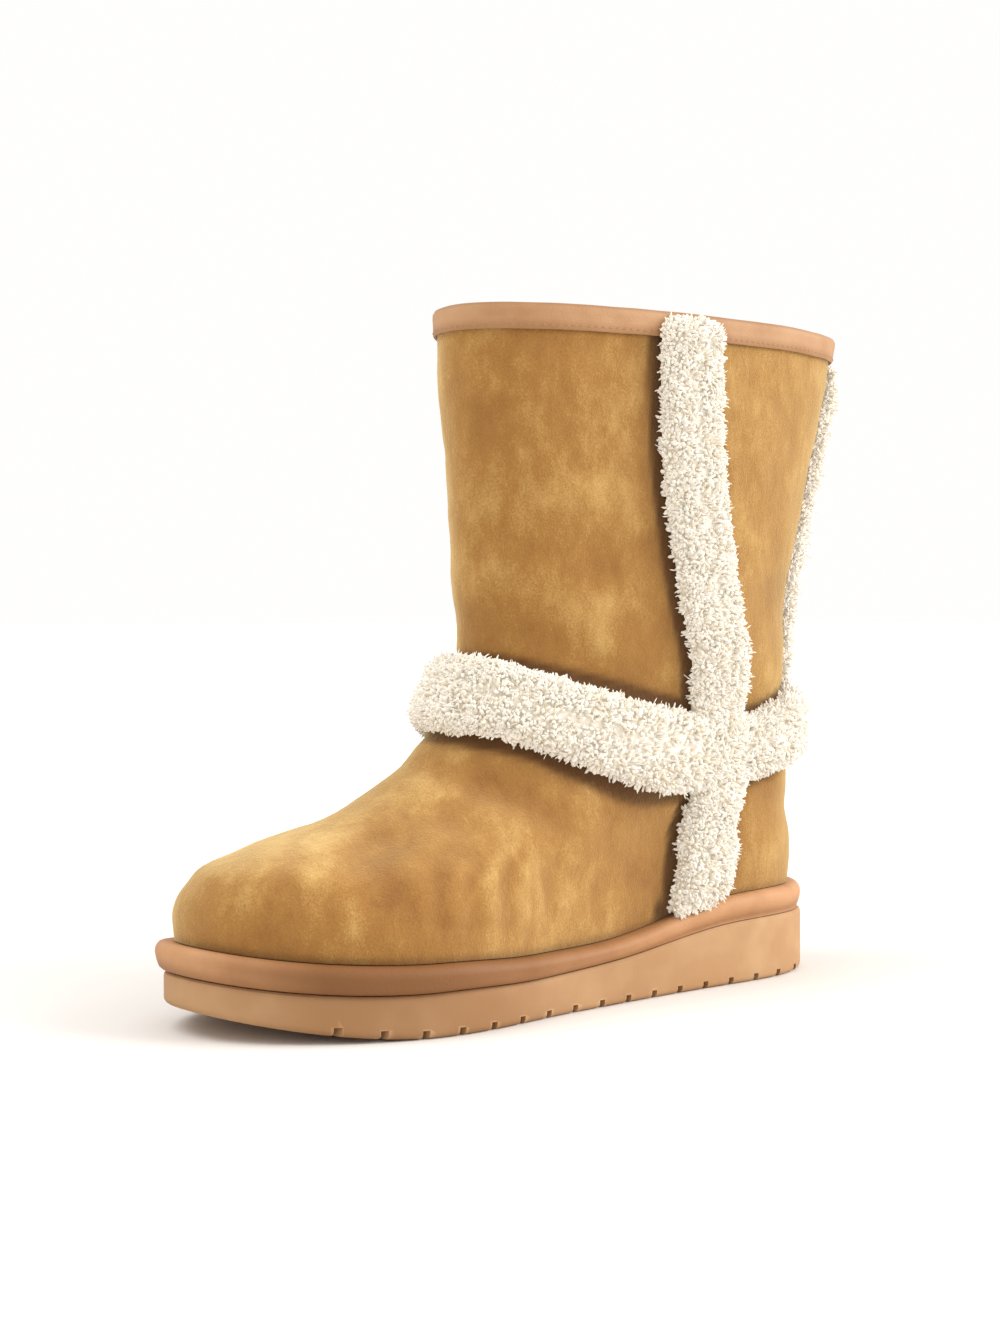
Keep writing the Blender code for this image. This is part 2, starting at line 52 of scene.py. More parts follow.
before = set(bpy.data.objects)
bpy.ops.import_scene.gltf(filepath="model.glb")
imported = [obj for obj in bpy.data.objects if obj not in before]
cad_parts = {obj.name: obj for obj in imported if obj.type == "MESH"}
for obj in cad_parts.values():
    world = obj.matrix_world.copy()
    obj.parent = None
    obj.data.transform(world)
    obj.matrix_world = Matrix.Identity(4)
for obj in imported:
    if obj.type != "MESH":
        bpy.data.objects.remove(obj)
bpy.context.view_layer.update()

# Sizes that the solids have, in metres
SOLE_LENGTH = 0.284
BALL_WIDTH = 0.108
WAIST_WIDTH = 0.084
HEEL_WIDTH = 0.080
HEEL_THICKNESS = 0.0245
WAIST_THICKNESS = 0.0162
BALL_THICKNESS = 0.0154
TOE_THICKNESS = 0.0110
TOE_SPRING = 0.0105
SPRING_START = 0.74
SOLE_CHAMFER = 0.0014
MIDSOLE_HEEL = 0.0104
MIDSOLE_WAIST = 0.0066
MIDSOLE_TOE = 0.0104
MIDSOLE_OVERHANG = 0.0030
MIDSOLE_ROLL = 0.0022
GROOVE_WIDTH = 0.0026
GROOVE_DEPTH = 0.0030
LUG_LENGTH = 0.0140
GROOVE_START = 0.080
GROOVE_END = 0.900
ARCH_HOLLOW = 0.0018
WALL = 0.0030
ANKLE_HEIGHT = 0.1240
COLLAR_HEIGHT = 0.2560
COLLAR_LENGTH = 0.1920
COLLAR_WIDTH = 0.0780
COLLAR_CENTRE = 0.0748
BINDING_DROP = 0.0085
BINDING_THICKNESS = 0.0012
TRIM_HEIGHT = 0.0094
BAND_WIDTH = 0.0310
SIDE_STRIP_WIDTH = 0.0275
BACK_STRIP_WIDTH = 0.0270
STRIP_DROP = 0.0022
GAP = 0.0003
TRIM_GAP = 0.0005

# Sizes that only the looks have, in metres
SUEDE_SHELL = 0.0014
CREASE_BOW = 0.0015
SLACK_HEIGHT = 0.0007
SLACK_WIDTH = 0.045
PUCKER_HEIGHT = 0.00025
PUCKER_WIDTH = 0.014
SEAM_DEPTH = 0.0009
SEAM_PLACE = 0.0022
SEAM_WIDTH = 0.0020
LINING_SHELL = 0.0010
LINING_DEPTH = 0.0034
CURL_HEIGHT = 0.0006
CURL_WIDTH = 0.006
RING_STEP = 0.0040
TRIM_CLUMP = 0.0065
LINING_CLUMP = 0.009
INSOLE_CLUMP = 0.010
LOCK_BURIED = 0.0006
BAND_UNDERLAP = 0.004
BINDING_WAVE = 0.0003
STITCH_LENGTH = 0.0021
STITCH_WIDTH = 0.00042
STITCH_RISE = 0.0016
STITCH_PROUD = 0.00008
INSOLE_SPACING = 0.0034
INSOLE_PILE = 0.0042

# How the wool lies, as shares
DOME_SUNK = 0.62
DOME_TOP = 0.70
LOCK_LEAN = 1.25
WISPS = 0.28
WISP_LENGTH = 1.18
WISP_WIDTH = 0.42
PILE_WIDTH = 1.8
# Where the packed wool under the locks sits on the colour ramp, between the painted shade at the roots
# and the tips
BED_TIP = 0.75

# Where the arch hollow lies along the sole, and its half sizes as shares of the waist's
# width and the sole's length; how far the tread's chevrons sweep, as a share of a lug
ARCH_PLACE = 0.45
ARCH_WIDTH = 0.26
ARCH_LENGTH = 0.105
CHEVRON_SWEEP = 0.35

# How the photo's camera stood: metres from the heel, degrees and millimetres
CAMERA_PLACE = (0.6149, -0.6090, 0.1433)
CAMERA_PITCH = 1.44
CAMERA_LENS = 55.13

# The dark brown that the edge mark mixes in: a darker line along the binding's folded top, and painted
# shade on its turned-under parts and on the sole's sides
DARK_EDGE_AND_SHADE = "#734820"


def table(names, *rows):
    """Rows whose values are read by their column's name."""
    return [dict(zip(names, row, strict=True)) for row in rows]


# The sole's plan, from the heel end to the toe end, as in the part.
SOLE_PLAN = table(
    ("along", "width", "fullness", "swing"),
    (0.00, HEEL_WIDTH, 0.880, 0.000),
    (0.25, HEEL_WIDTH, 0.575, 0.005),
    (0.50, WAIST_WIDTH, 0.525, 0.038),
    (0.75, BALL_WIDTH, 0.580, 0.026),
    (1.00, BALL_WIDTH, 0.650, -0.036),
)

# Thickness of the outsole and of the midsole, as in the part.
SOLE_DEPTH = table(
    ("along", "outsole", "midsole"),
    (0.00, HEEL_THICKNESS, MIDSOLE_HEEL),
    (0.22, HEEL_THICKNESS * 0.97, MIDSOLE_HEEL * 0.94),
    (0.44, WAIST_THICKNESS, MIDSOLE_WAIST),
    (0.58, BALL_THICKNESS * 0.94, MIDSOLE_TOE * 0.76),
    (0.72, BALL_THICKNESS, MIDSOLE_TOE * 0.90),
    (1.00, TOE_THICKNESS, MIDSOLE_TOE),
)

# Sections of the foot and of the shaft, as in the part.
FOOT_SECTIONS = table(
    ("rise", "back", "front", "heel_end", "heel", "waist", "ball", "toe_end"),
    (0.00, 0.024, 0.977, 0.830, 0.500, 0.435, 0.530, 0.590),
    (0.12, 0.023, 0.978, 0.860, 0.525, 0.455, 0.545, 0.605),
    (0.22, 0.024, 0.963, 0.860, 0.520, 0.460, 0.530, 0.590),
    (0.29, 0.026, 0.940, 0.850, 0.510, 0.460, 0.500, 0.560),
    (0.36, 0.030, 0.880, 0.840, 0.500, 0.460, 0.450, 0.500),
    (0.44, 0.033, 0.790, 0.820, 0.490, 0.460, 0.400, 0.430),
    (0.54, 0.035, 0.712, 0.780, 0.480, 0.460, 0.360, 0.370),
    (0.66, 0.036, 0.651, 0.730, 0.470, 0.455, 0.335, 0.330),
    (0.82, 0.036, 0.603, 0.680, 0.465, 0.450, 0.325, 0.310),
)
SHAFT_SECTIONS = table(
    ("rise", "back", "front", "heel_end", "heel", "waist", "ball", "toe_end"),
    (0.00, 0.338, 0.453, 0.640, 0.530, 0.515, 0.490, 0.470),
    (0.20, 0.355, 0.457, 0.620, 0.530, 0.515, 0.500, 0.500),
    (0.50, 0.408, 0.470, 0.610, 0.530, 0.510, 0.510, 0.550),
    (0.80, 0.468, 0.486, 0.610, 0.530, 0.505, 0.520, 0.580),
    (1.00, 0.500, 0.490, 0.610, 0.530, 0.500, 0.520, 0.600),
)

# Middle lines of the band round the ankle and of a side strip, as in the part.
BAND_LINE = table(
    ("turn", "rise", "width"),
    (0.00, 0.835, 0.88),
    (0.09, 0.795, 0.87),
    (0.17, 0.735, 0.87),
    (0.25, 0.768, 1.20),
    (0.30, 0.820, 1.10),
    (0.36, 0.876, 0.98),
    (0.43, 0.912, 1.00),
    (0.50, 0.922, 1.00),
)
SIDE_LINE = table(
    ("rise", "turn", "width"),
    (0.13, 0.177, 1.20),
    (0.20, 0.170, 1.04),
    (0.27, 0.174, 1.00),
    (0.44, 0.213, 1.00),
    (0.60, 0.238, 1.00),
    (0.75, 0.258, 1.00),
    (1.00, 0.272, 1.00),
)

# Creases of the sheepskin, given one by one. turn and turn_to: the ends round the boot.
# rise and rise_to: the ends as shares of the ankle's height. width: half the width of the
# soft trough or ridge, in mm. height: how far it stands out, in mm, below 0 for a trough.
CREASES = table(
    ("turn", "rise", "turn_to", "rise_to", "width", "height"),
    # the hollow where the toes bend, with a ridge on each side
    (0.412, 0.580, 0.368, 0.480, 8.0, -1.7),
    (0.446, 0.575, 0.402, 0.470, 6.0, 0.8),
    (0.376, 0.585, 0.348, 0.470, 6.0, 0.7),
    # gathers over the sole on the outer side
    (0.340, 0.500, 0.334, 0.390, 3.0, -1.0),
    (0.332, 0.520, 0.326, 0.400, 2.6, 0.6),
    (0.324, 0.520, 0.316, 0.380, 3.0, -1.1),
    (0.315, 0.545, 0.306, 0.400, 2.8, 0.7),
    (0.305, 0.540, 0.296, 0.380, 3.2, -1.0),
    (0.292, 0.530, 0.284, 0.390, 3.0, 0.5),
    (0.278, 0.520, 0.266, 0.380, 3.4, -0.8),
    # the instep's break, under the band
    (0.470, 0.745, 0.380, 0.700, 6.0, -0.9),
    (0.380, 0.700, 0.300, 0.600, 7.0, -0.9),
    (0.440, 0.690, 0.350, 0.620, 6.0, 0.7),
    # the same on the inner side
    (0.590, 0.590, 0.640, 0.480, 8.0, -1.4),
    (0.560, 0.580, 0.600, 0.470, 6.0, 0.7),
    (0.660, 0.500, 0.668, 0.390, 3.0, -0.9),
    (0.684, 0.520, 0.694, 0.390, 3.2, -0.9),
    (0.712, 0.520, 0.724, 0.380, 3.4, -0.8),
    (0.540, 0.740, 0.630, 0.690, 6.0, -0.8),
    (0.630, 0.690, 0.710, 0.600, 7.0, -0.8),
    # the heel's sides
    (0.120, 0.600, 0.060, 0.520, 7.0, -0.7),
    (0.880, 0.600, 0.940, 0.520, 7.0, -0.7),
    # slack in the shaft over the ankle
    (0.480, 1.150, 0.370, 1.040, 10.0, -0.8),
    (0.440, 1.280, 0.330, 1.150, 12.0, 0.5),
    (0.450, 1.420, 0.340, 1.300, 12.0, -0.6),
    (0.400, 1.640, 0.310, 1.480, 14.0, 0.6),
    (0.540, 1.160, 0.640, 1.060, 10.0, -0.8),
    (0.560, 1.330, 0.670, 1.210, 12.0, -0.7),
    (0.150, 1.250, 0.060, 1.180, 12.0, -0.7),
    (0.850, 1.250, 0.940, 1.180, 12.0, -0.7),
)

COLUMNS = ("heel_end", "heel", "waist", "ball", "toe_end")


# The boot's form, as in the part


def smooth(knots, values, at):
    """A smooth curve through the rows (knots, values), read at the places asked for."""
    knots = np.asarray(knots, float)
    values = np.asarray(values, float)
    at = np.clip(np.asarray(at, float), knots[0], knots[-1])
    step = np.diff(knots)
    wide = step.reshape((-1,) + (1,) * (values.ndim - 1))
    slope = np.diff(values, axis=0) / wide
    tangent = np.empty_like(values)
    tangent[0], tangent[-1] = slope[0], slope[-1]
    tangent[1:-1] = (slope[:-1] * wide[1:] + slope[1:] * wide[:-1]) / (wide[:-1] + wide[1:])
    i = np.clip(np.searchsorted(knots, at, side="right") - 1, 0, len(step) - 1)
    t = ((at - knots[i]) / step[i]).reshape(at.shape + (1,) * (values.ndim - 1))
    span = step[i].reshape(t.shape)
    return (
        values[i] * (1 + 2 * t) * (1 - t) ** 2
        + tangent[i] * span * t * (1 - t) ** 2
        + values[i + 1] * t * t * (3 - 2 * t)
        + tangent[i + 1] * span * t * t * (t - 1)
    )


def ease(t):
    """0 below 0, 1 above 1, and a soft step between."""
    t = np.clip(t, 0.0, 1.0)
    return t * t * (3 - 2 * t)


def unit(vectors):
    return vectors / np.maximum(np.linalg.norm(vectors, axis=-1, keepdims=True), 1e-12)


def column(rows, name):
    return [row[name] for row in rows]


def read_off(rows, by, name, at):
    """A table's column, by a smooth curve, at places along another of its columns."""
    return smooth(column(rows, by), column(rows, name), at)


def along_sole(y):
    """The share of the sole's length at that y, from 0 at the heel end to 1 at the toe."""
    return np.clip(-y / SOLE_LENGTH, 0, 1)


def sole_half_width(along):
    rows = [row["fullness"] * row["width"] for row in SOLE_PLAN]
    return smooth(column(SOLE_PLAN, "along"), rows, along)


def sole_swing(along):
    return BALL_WIDTH * read_off(SOLE_PLAN, "along", "swing", along)


def sole_underside(along):
    return TOE_SPRING * np.clip((along - SPRING_START) / (1 - SPRING_START), 0, 1) ** 1.8


def sole_top(along):
    return sole_underside(along) + read_off(SOLE_DEPTH, "along", "outsole", along)


def midsole_thickness(along):
    return read_off(SOLE_DEPTH, "along", "midsole", along)


def feather_height(along):
    """Height of the midsole's top, where the upper sits."""
    return sole_top(along) + GAP + midsole_thickness(along)


def sole_edge(turn, inset):
    """Points (x, y) of the sole's edge, brought in by inset, and their share of the
    length."""
    angle = 2 * math.pi * turn
    along = (1 - np.cos(angle)) / 2
    nudge = 1e-4

    def edge(a):
        s = (1 - np.cos(a)) / 2
        return np.stack([sole_swing(s) + sole_half_width(s) * np.sin(a), -SOLE_LENGTH * s], -1)

    run = edge(angle + nudge) - edge(angle - nudge)
    outward = unit(np.stack([-run[..., 1], run[..., 0]], -1))
    points = edge(angle) - outward * np.broadcast_to(inset, angle.shape)[..., None]
    return points, along_sole(points[..., 1])


def toe_overhang(turn):
    """How far the outsole is set in under the midsole."""
    along = (1 - np.cos(2 * math.pi * turn)) / 2
    return MIDSOLE_OVERHANG * ease((along - 0.20) / 0.60)


def feather_rise():
    return float(feather_height(0.0)) + GAP


def section_rows():
    """Every section as (rise, back, front, five half widths), in metres."""
    low, high = feather_rise(), ANKLE_HEIGHT
    widths = dict(zip(COLUMNS, (HEEL_WIDTH, HEEL_WIDTH, WAIST_WIDTH, BALL_WIDTH, BALL_WIDTH)))
    rows = []
    for row in FOOT_SECTIONS:
        rise = low + row["rise"] * (high - low)
        ends = [row["back"] * SOLE_LENGTH, row["front"] * SOLE_LENGTH]
        rows.append([rise] + ends + [row[name] * widths[name] for name in COLUMNS])
    for row in SHAFT_SECTIONS:
        rise = high + row["rise"] * (COLLAR_HEIGHT - high)
        back = COLLAR_CENTRE - row["back"] * COLLAR_LENGTH
        front = COLLAR_CENTRE + row["front"] * COLLAR_LENGTH
        rows.append([rise, back, front] + [row[name] * COLLAR_WIDTH for name in COLUMNS])
    return np.array(rows)


SECTIONS = section_rows()


def upper_point(turn, rise):
    """Points of the upper's outer face at those turns and rises."""
    turn, rise = np.broadcast_arrays(np.asarray(turn, float), np.asarray(rise, float))
    shape = turn.shape
    turn, rise = turn.ravel(), rise.ravel()
    row = smooth(SECTIONS[:, 0], SECTIONS[:, 1:], rise)
    angle = 2 * math.pi * turn
    along = (1 - np.cos(angle)) / 2
    weights = smooth(np.arange(5), np.eye(5), np.clip(along * 4, 0, 4))
    half = (row[:, 2:] * weights).sum(axis=1)
    y = -(row[:, 0] + (row[:, 1] - row[:, 0]) * along)
    share = along_sole(y)
    foot = 1 - ease((rise - SECTIONS[0, 0]) / (ANKLE_HEIGHT - SECTIONS[0, 0]))
    x = sole_swing(share) * foot + half * np.sin(angle)
    z = rise + (feather_height(share) - feather_height(0.0)) * foot
    return np.stack([x, y, z], axis=-1).reshape(shape + (3,))


def upper_normal(turn, rise):
    """Outward directions of the upper's outer face."""
    d_turn, d_rise = 1e-4, 1e-5
    low, high = SECTIONS[0, 0], SECTIONS[-1, 0]
    around = upper_point(np.add(turn, d_turn), rise) - upper_point(np.subtract(turn, d_turn), rise)
    up = upper_point(turn, np.clip(np.add(rise, d_rise), low, high))
    up = up - upper_point(turn, np.clip(np.subtract(rise, d_rise), low, high))
    return unit(np.cross(up, around))


def off_upper(turn, rise, distance):
    """Points that far off the upper's outer face, outwards."""
    distance = np.asarray(distance, float)
    return upper_point(turn, rise) + upper_normal(turn, rise) * distance[..., None]


def turn_per_metre(turn, rise):
    run = upper_point(np.add(turn, 1e-3), rise) - upper_point(np.subtract(turn, 1e-3), rise)
    return 2e-3 / np.linalg.norm(run, axis=-1)


def rise_per_metre(turn, rise):
    run = upper_point(turn, np.add(rise, 1e-4)) - upper_point(turn, np.subtract(rise, 1e-4))
    return 2e-4 / np.linalg.norm(run, axis=-1)


def on_band(turn, name):
    folded = np.minimum(np.mod(turn, 1.0), 1 - np.mod(turn, 1.0))
    return read_off(BAND_LINE, "turn", name, folded)


def band_rise(turn, s):
    """Rise of the ankle band at s across it, from -1 at its lower edge to 1 at its upper."""
    middle = ANKLE_HEIGHT * on_band(turn, "rise")
    half = BAND_WIDTH / 2 * on_band(turn, "width")
    return middle + s * half * rise_per_metre(turn, middle)


def on_strip(rise, name):
    return read_off(SIDE_LINE, "rise", name, np.divide(rise, COLLAR_HEIGHT))


def side_turn(rise, side):
    """Turn of a side strip's middle line. side is 1 for the outer and -1 for the inner."""
    return on_strip(rise, "turn") if side > 0 else 1 - on_strip(rise, "turn")


def strip_reach(rise, middle):
    """Half a side strip's width at that rise, as a turn."""
    return SIDE_STRIP_WIDTH / 2 * on_strip(rise, "width") * turn_per_metre(middle, rise)


def frame_shift():
    """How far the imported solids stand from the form's own origin, which is at the heel."""
    turn = np.arange(64) / 64
    edge, _ = sole_edge(turn, toe_overhang(turn))
    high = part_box("outsole")[1]
    return np.array([high.x - edge[:, 0].max(), high.y - edge[:, 1].max(), 0.0])


SHIFT = frame_shift()


# Colour


def linear(code):
    """An sRGB hex colour in linear light."""
    parts = [int(code[i : i + 2], 16) / 255 for i in (1, 3, 5)]
    return tuple(p / 12.92 if p <= 0.04045 else ((p + 0.055) / 1.055) ** 2.4 for p in parts)


def from_mm(size):
    """The scale of a pattern whose features are that many millimetres across."""
    return 1000 / size


def add_node(material, kind, output, sockets=(), ramp=(), **settings):
    """Adds a node with its settings, its colour stops, and its sockets' values or links, and
    returns its output of that name."""
    node = material.node_tree.nodes.new("ShaderNode" + kind)
    for name, value in settings.items():
        setattr(node, name, value)
    for spot, (place, colour) in enumerate(ramp):
        stops = node.color_ramp.elements
        stop = stops[spot] if spot < 2 else stops.new(place)
        stop.position, stop.color = place, (*colour, 1.0)
    for name, value in dict(sockets).items():
        socket = next(s for s in node.inputs if name in (s.identifier, s.name))
        if isinstance(value, bpy.types.NodeSocket):
            material.node_tree.links.new(value, socket)
        else:
            socket.default_value = value
    return next(s for s in node.outputs if output in (s.identifier, s.name))


def new_material(name, **sockets):
    """A material whose shader has those uniform values, with its shader node."""
    material = bpy.data.materials.new(name)
    material.use_nodes = True
    shader = material.node_tree.nodes["Principled BSDF"]
    for socket, value in sockets.items():
        shader.inputs[socket.replace("_", " ")].default_value = value
    return material, shader


def link(material, shader, **outputs):
    """Links outputs to the shader's inputs of those names."""
    for socket, output in outputs.items():
        material.node_tree.links.new(output, shader.inputs[socket.replace("_", " ")])


# Meshes


def select(*pieces):
    """Leaves edit mode and selects those pieces alone, with the first one active."""
    if bpy.context.mode != "OBJECT":
        bpy.ops.object.mode_set(mode="OBJECT")
    bpy.ops.object.select_all(action="DESELECT")
    for piece in pieces:
        piece.select_set(True)
    if pieces:
        bpy.context.view_layer.objects.active = pieces[0]


def new_piece(name, points, faces):
    """An object made from points on the form and their faces."""
    mesh = bpy.data.meshes.new(name)
    mesh.from_pydata((np.asarray(points) + SHIFT).tolist(), [], faces)
    piece = bpy.data.objects.new(name, mesh)
    bpy.context.scene.collection.objects.link(piece)
    return piece


def read(piece):
    points = np.empty(len(piece.data.vertices) * 3)
    piece.data.vertices.foreach_get("co", points)
    return points.reshape(-1, 3)


def write(piece, points):
    piece.data.vertices.foreach_set("co", np.asarray(points, float).ravel())
    piece.data.update()


def mark_points(piece, mark, values):
    values = np.asarray(values, np.float32)
    piece.data.attributes.new(mark, "FLOAT", "POINT").data.foreach_set("value", values)


def even(value):
    """A mark's function that gives the same value everywhere."""
    return lambda u, v: np.full(u.shape, value)


def face_outwards(piece):
    """Welds the points that meet and turns every face outwards."""
    select(piece)
    bpy.ops.object.mode_set(mode="EDIT")
    bpy.ops.mesh.select_all(action="SELECT")
    bpy.ops.mesh.remove_doubles(threshold=1e-6)
    bpy.ops.mesh.normals_make_consistent(inside=False)
    bpy.ops.object.mode_set(mode="OBJECT")


def sheet_round(name, across, along, place, marks=()):
    """A grid primitive wrapped once round the boot and closed where its two ends meet.

    place(u, v) gives the points, with u from 0 to 1 round the boot and v from 0 to 1 up
    it. marks are pairs of a name and a function of (u, v), kept as attributes."""
    select()
    bpy.ops.mesh.primitive_grid_add(x_subdivisions=across, y_subdivisions=along, size=1.0)
    piece = bpy.context.object
    piece.name = piece.data.name = name
    flat = read(piece)
    u, v = flat[:, 0] + 0.5, flat[:, 1] + 0.5
    u = np.where(u > 1 - 1e-6, 0.0, u)
    for mark, function in marks:
        mark_points(piece, mark, function(u, v))
    write(piece, place(u, v) + SHIFT)
    face_outwards(piece)
    return piece


def plate(name, count, rings, edge, marks=()):
    """A closed plate from a stack of rings, each an inset, a height as a function of the
    share of the length, and how much of the way it has drawn in to the middle line."""
    steps = len(rings) - 1

    def place(u, v):
        points = np.zeros(u.shape + (3,))
        level = np.round(v * steps).astype(int)
        for k, (inset, height, drawn) in enumerate(rings):
            here = level == k
            line, _ = edge(u[here], inset(u[here]))
            # The middle line stops short of both ends, so that the drawn-in rings stay wide.
            share = 0.5 - 0.43 * np.cos(2 * math.pi * u[here])
            middle = np.stack([sole_swing(share), -SOLE_LENGTH * share], -1)
            flat = line + (middle - line) * drawn
            points[here] = np.column_stack([flat, height(along_sole(flat[:, 1]))])
        return points

    return sheet_round(name, count, steps, place, marks)


def apply_modifier(piece, kind, **settings):
    """Adds a modifier with its settings and applies it."""
    select(piece)
    modifier = piece.modifiers.new(kind.title(), kind)
    for name, value in settings.items():
        setattr(modifier, name, value)
    bpy.ops.object.modifier_apply(modifier=modifier.name)


def thicken(piece, thickness, offset):
    apply_modifier(piece, "SOLIDIFY", thickness=thickness, offset=offset, use_even_offset=False)


def shade(piece, degrees=60):
    """Shades a piece smooth, but for edges sharper than that angle."""
    select(piece)
    bpy.ops.object.shade_smooth_by_angle(angle=math.radians(degrees))


def bar(sides, cuts, axis, **placed):
    """A cylinder primitive 1 long and 1 wide, in edit mode, with the edges that run along
    that axis subdivided."""
    select()
    bpy.ops.mesh.primitive_cylinder_add(vertices=sides, radius=0.5, depth=1.0, **placed)
    piece = bpy.context.object
    piece.data.transform(piece.matrix_world)
    piece.matrix_world.identity()
    bpy.ops.object.mode_set(mode="EDIT")
    bpy.ops.mesh.select_mode(type="EDGE")
    bpy.ops.mesh.select_all(action="DESELECT")
    shape = bmesh.from_edit_mesh(piece.data)
    for edge in shape.edges:
        edge.select = abs(edge.verts[0].co[axis] - edge.verts[1].co[axis]) > 0.5
    shape.select_flush_mode()
    bmesh.update_edit_mesh(piece.data)
    bpy.ops.mesh.subdivide(number_cuts=cuts)
    return piece


def taken(piece):
    """The points and faces of a piece that is modelled to be copied, and is then removed."""
    bpy.ops.object.mode_set(mode="OBJECT")
    points, faces = read(piece), [tuple(face.vertices) for face in piece.data.polygons]
    bpy.data.objects.remove(piece)
    return points, faces


def copied(roots, axes, offsets, faces, base=0):
    """Copies of one shape at all the roots. offsets holds how far each point lies along
    each of the three axes, and base is the number of the first point."""
    made = roots[:, None, :]
    for axis, offset in zip(axes, offsets):
        made = made + offset[..., None] * axis[:, None, :]
    count = made.shape[1]
    copies = [tuple(base + k * count + i for i in face) for k in range(len(roots)) for face in faces]
    return made.reshape(-1, 3), copies


def hand_over(piece, material, node):
    """Gives a finished piece its material and puts it in the place of its solid."""
    piece.data.materials.clear()
    piece.data.materials.append(material)
    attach(piece, "root")
    if node:
        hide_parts(node)


def rolling(points, size, seed, rough=3):
    """Soft noise from -1 to 1 at points in metres, with features of that size."""
    shift = Vector((seed * 7.31, seed * 3.17, seed * 5.93))
    return np.array([noise.fractal(Vector(p) / size + shift, 0.6, 2.0, rough) for p in points])


def clumped(points, size, seed):
    """Soft noise in three directions, so that neighbouring locks lean the same way."""
    return np.stack([rolling(points, size, seed + k, 2) for k in range(3)], axis=1)


# Suede upper


def crease_relief(turn, rise):
    """How far the listed creases stand out at those places, in metres."""
    here = upper_point(turn, rise)
    share = np.linspace(0, 1, 9)
    relief = np.zeros(turn.shape)
    for crease in CREASES:
        line_turn = crease["turn"] + (crease["turn_to"] - crease["turn"]) * share
        line_rise = crease["rise"] + (crease["rise_to"] - crease["rise"]) * share
        line = upper_point(line_turn, line_rise * ANKLE_HEIGHT)
        line[:, 2] += np.sin(share * math.pi) * CREASE_BOW
        near = np.full(turn.shape, 1.0)
        for a, b in zip(line[:-1], line[1:]):
            run = b - a
            t = np.clip(((here - a) @ run) / (run @ run), 0, 1)
            near = np.minimum(near, np.linalg.norm(here - a - t[:, None] * run, axis=1))
        relief += crease["height"] / 1000 * np.exp(-((near * 1000 / crease["width"]) ** 2))
    return relief


def beside_trim(turn, rise):
    """How far a place lies outside the wool trim, in metres, below 0 under it."""
    best = np.full(turn.shape, 1.0)
    for side in (1, -1):
        middle = side_turn(rise, side)
        per = turn_per_metre(middle, rise)
        half = SIDE_STRIP_WIDTH / 2 * on_strip(rise, "width")
        best = np.minimum(best, np.abs(turn - middle) / per - half)
    middle = ANKLE_HEIGHT * on_band(turn, "rise")
    half = BAND_WIDTH / 2 * on_band(turn, "width")
    best = np.minimum(best, np.abs(rise - middle) / rise_per_metre(turn, middle) - half)
    back = np.minimum(turn, 1 - turn) / turn_per_metre(0.0, rise) - BACK_STRIP_WIDTH / 2
    return np.where(rise > ANKLE_HEIGHT * 0.8, np.minimum(best, back), best)


def upper_relief(turn, rise, sizes):
    """How far the sheepskin stands off the solid's face: creases, slack and seams."""
    low, high = feather_rise(), COLLAR_HEIGHT
    held = ease((rise - low) / 0.006) * ease((high - BINDING_DROP - rise) / 0.012)
    trim = beside_trim(turn, rise)
    free = 0.25 + 0.75 * ease((trim + 0.004) / 0.010)
    here = upper_point(turn, rise)
    slack = SLACK_HEIGHT * rolling(here, SLACK_WIDTH, 2)
    slack = slack + PUCKER_HEIGHT * rolling(here, PUCKER_WIDTH, 5)
    groove = -SEAM_DEPTH * np.exp(-(((trim - SEAM_PLACE) / SEAM_WIDTH) ** 2))
    return held * (free * (crease_relief(turn, rise) * sizes.crease_share + slack) + groove)


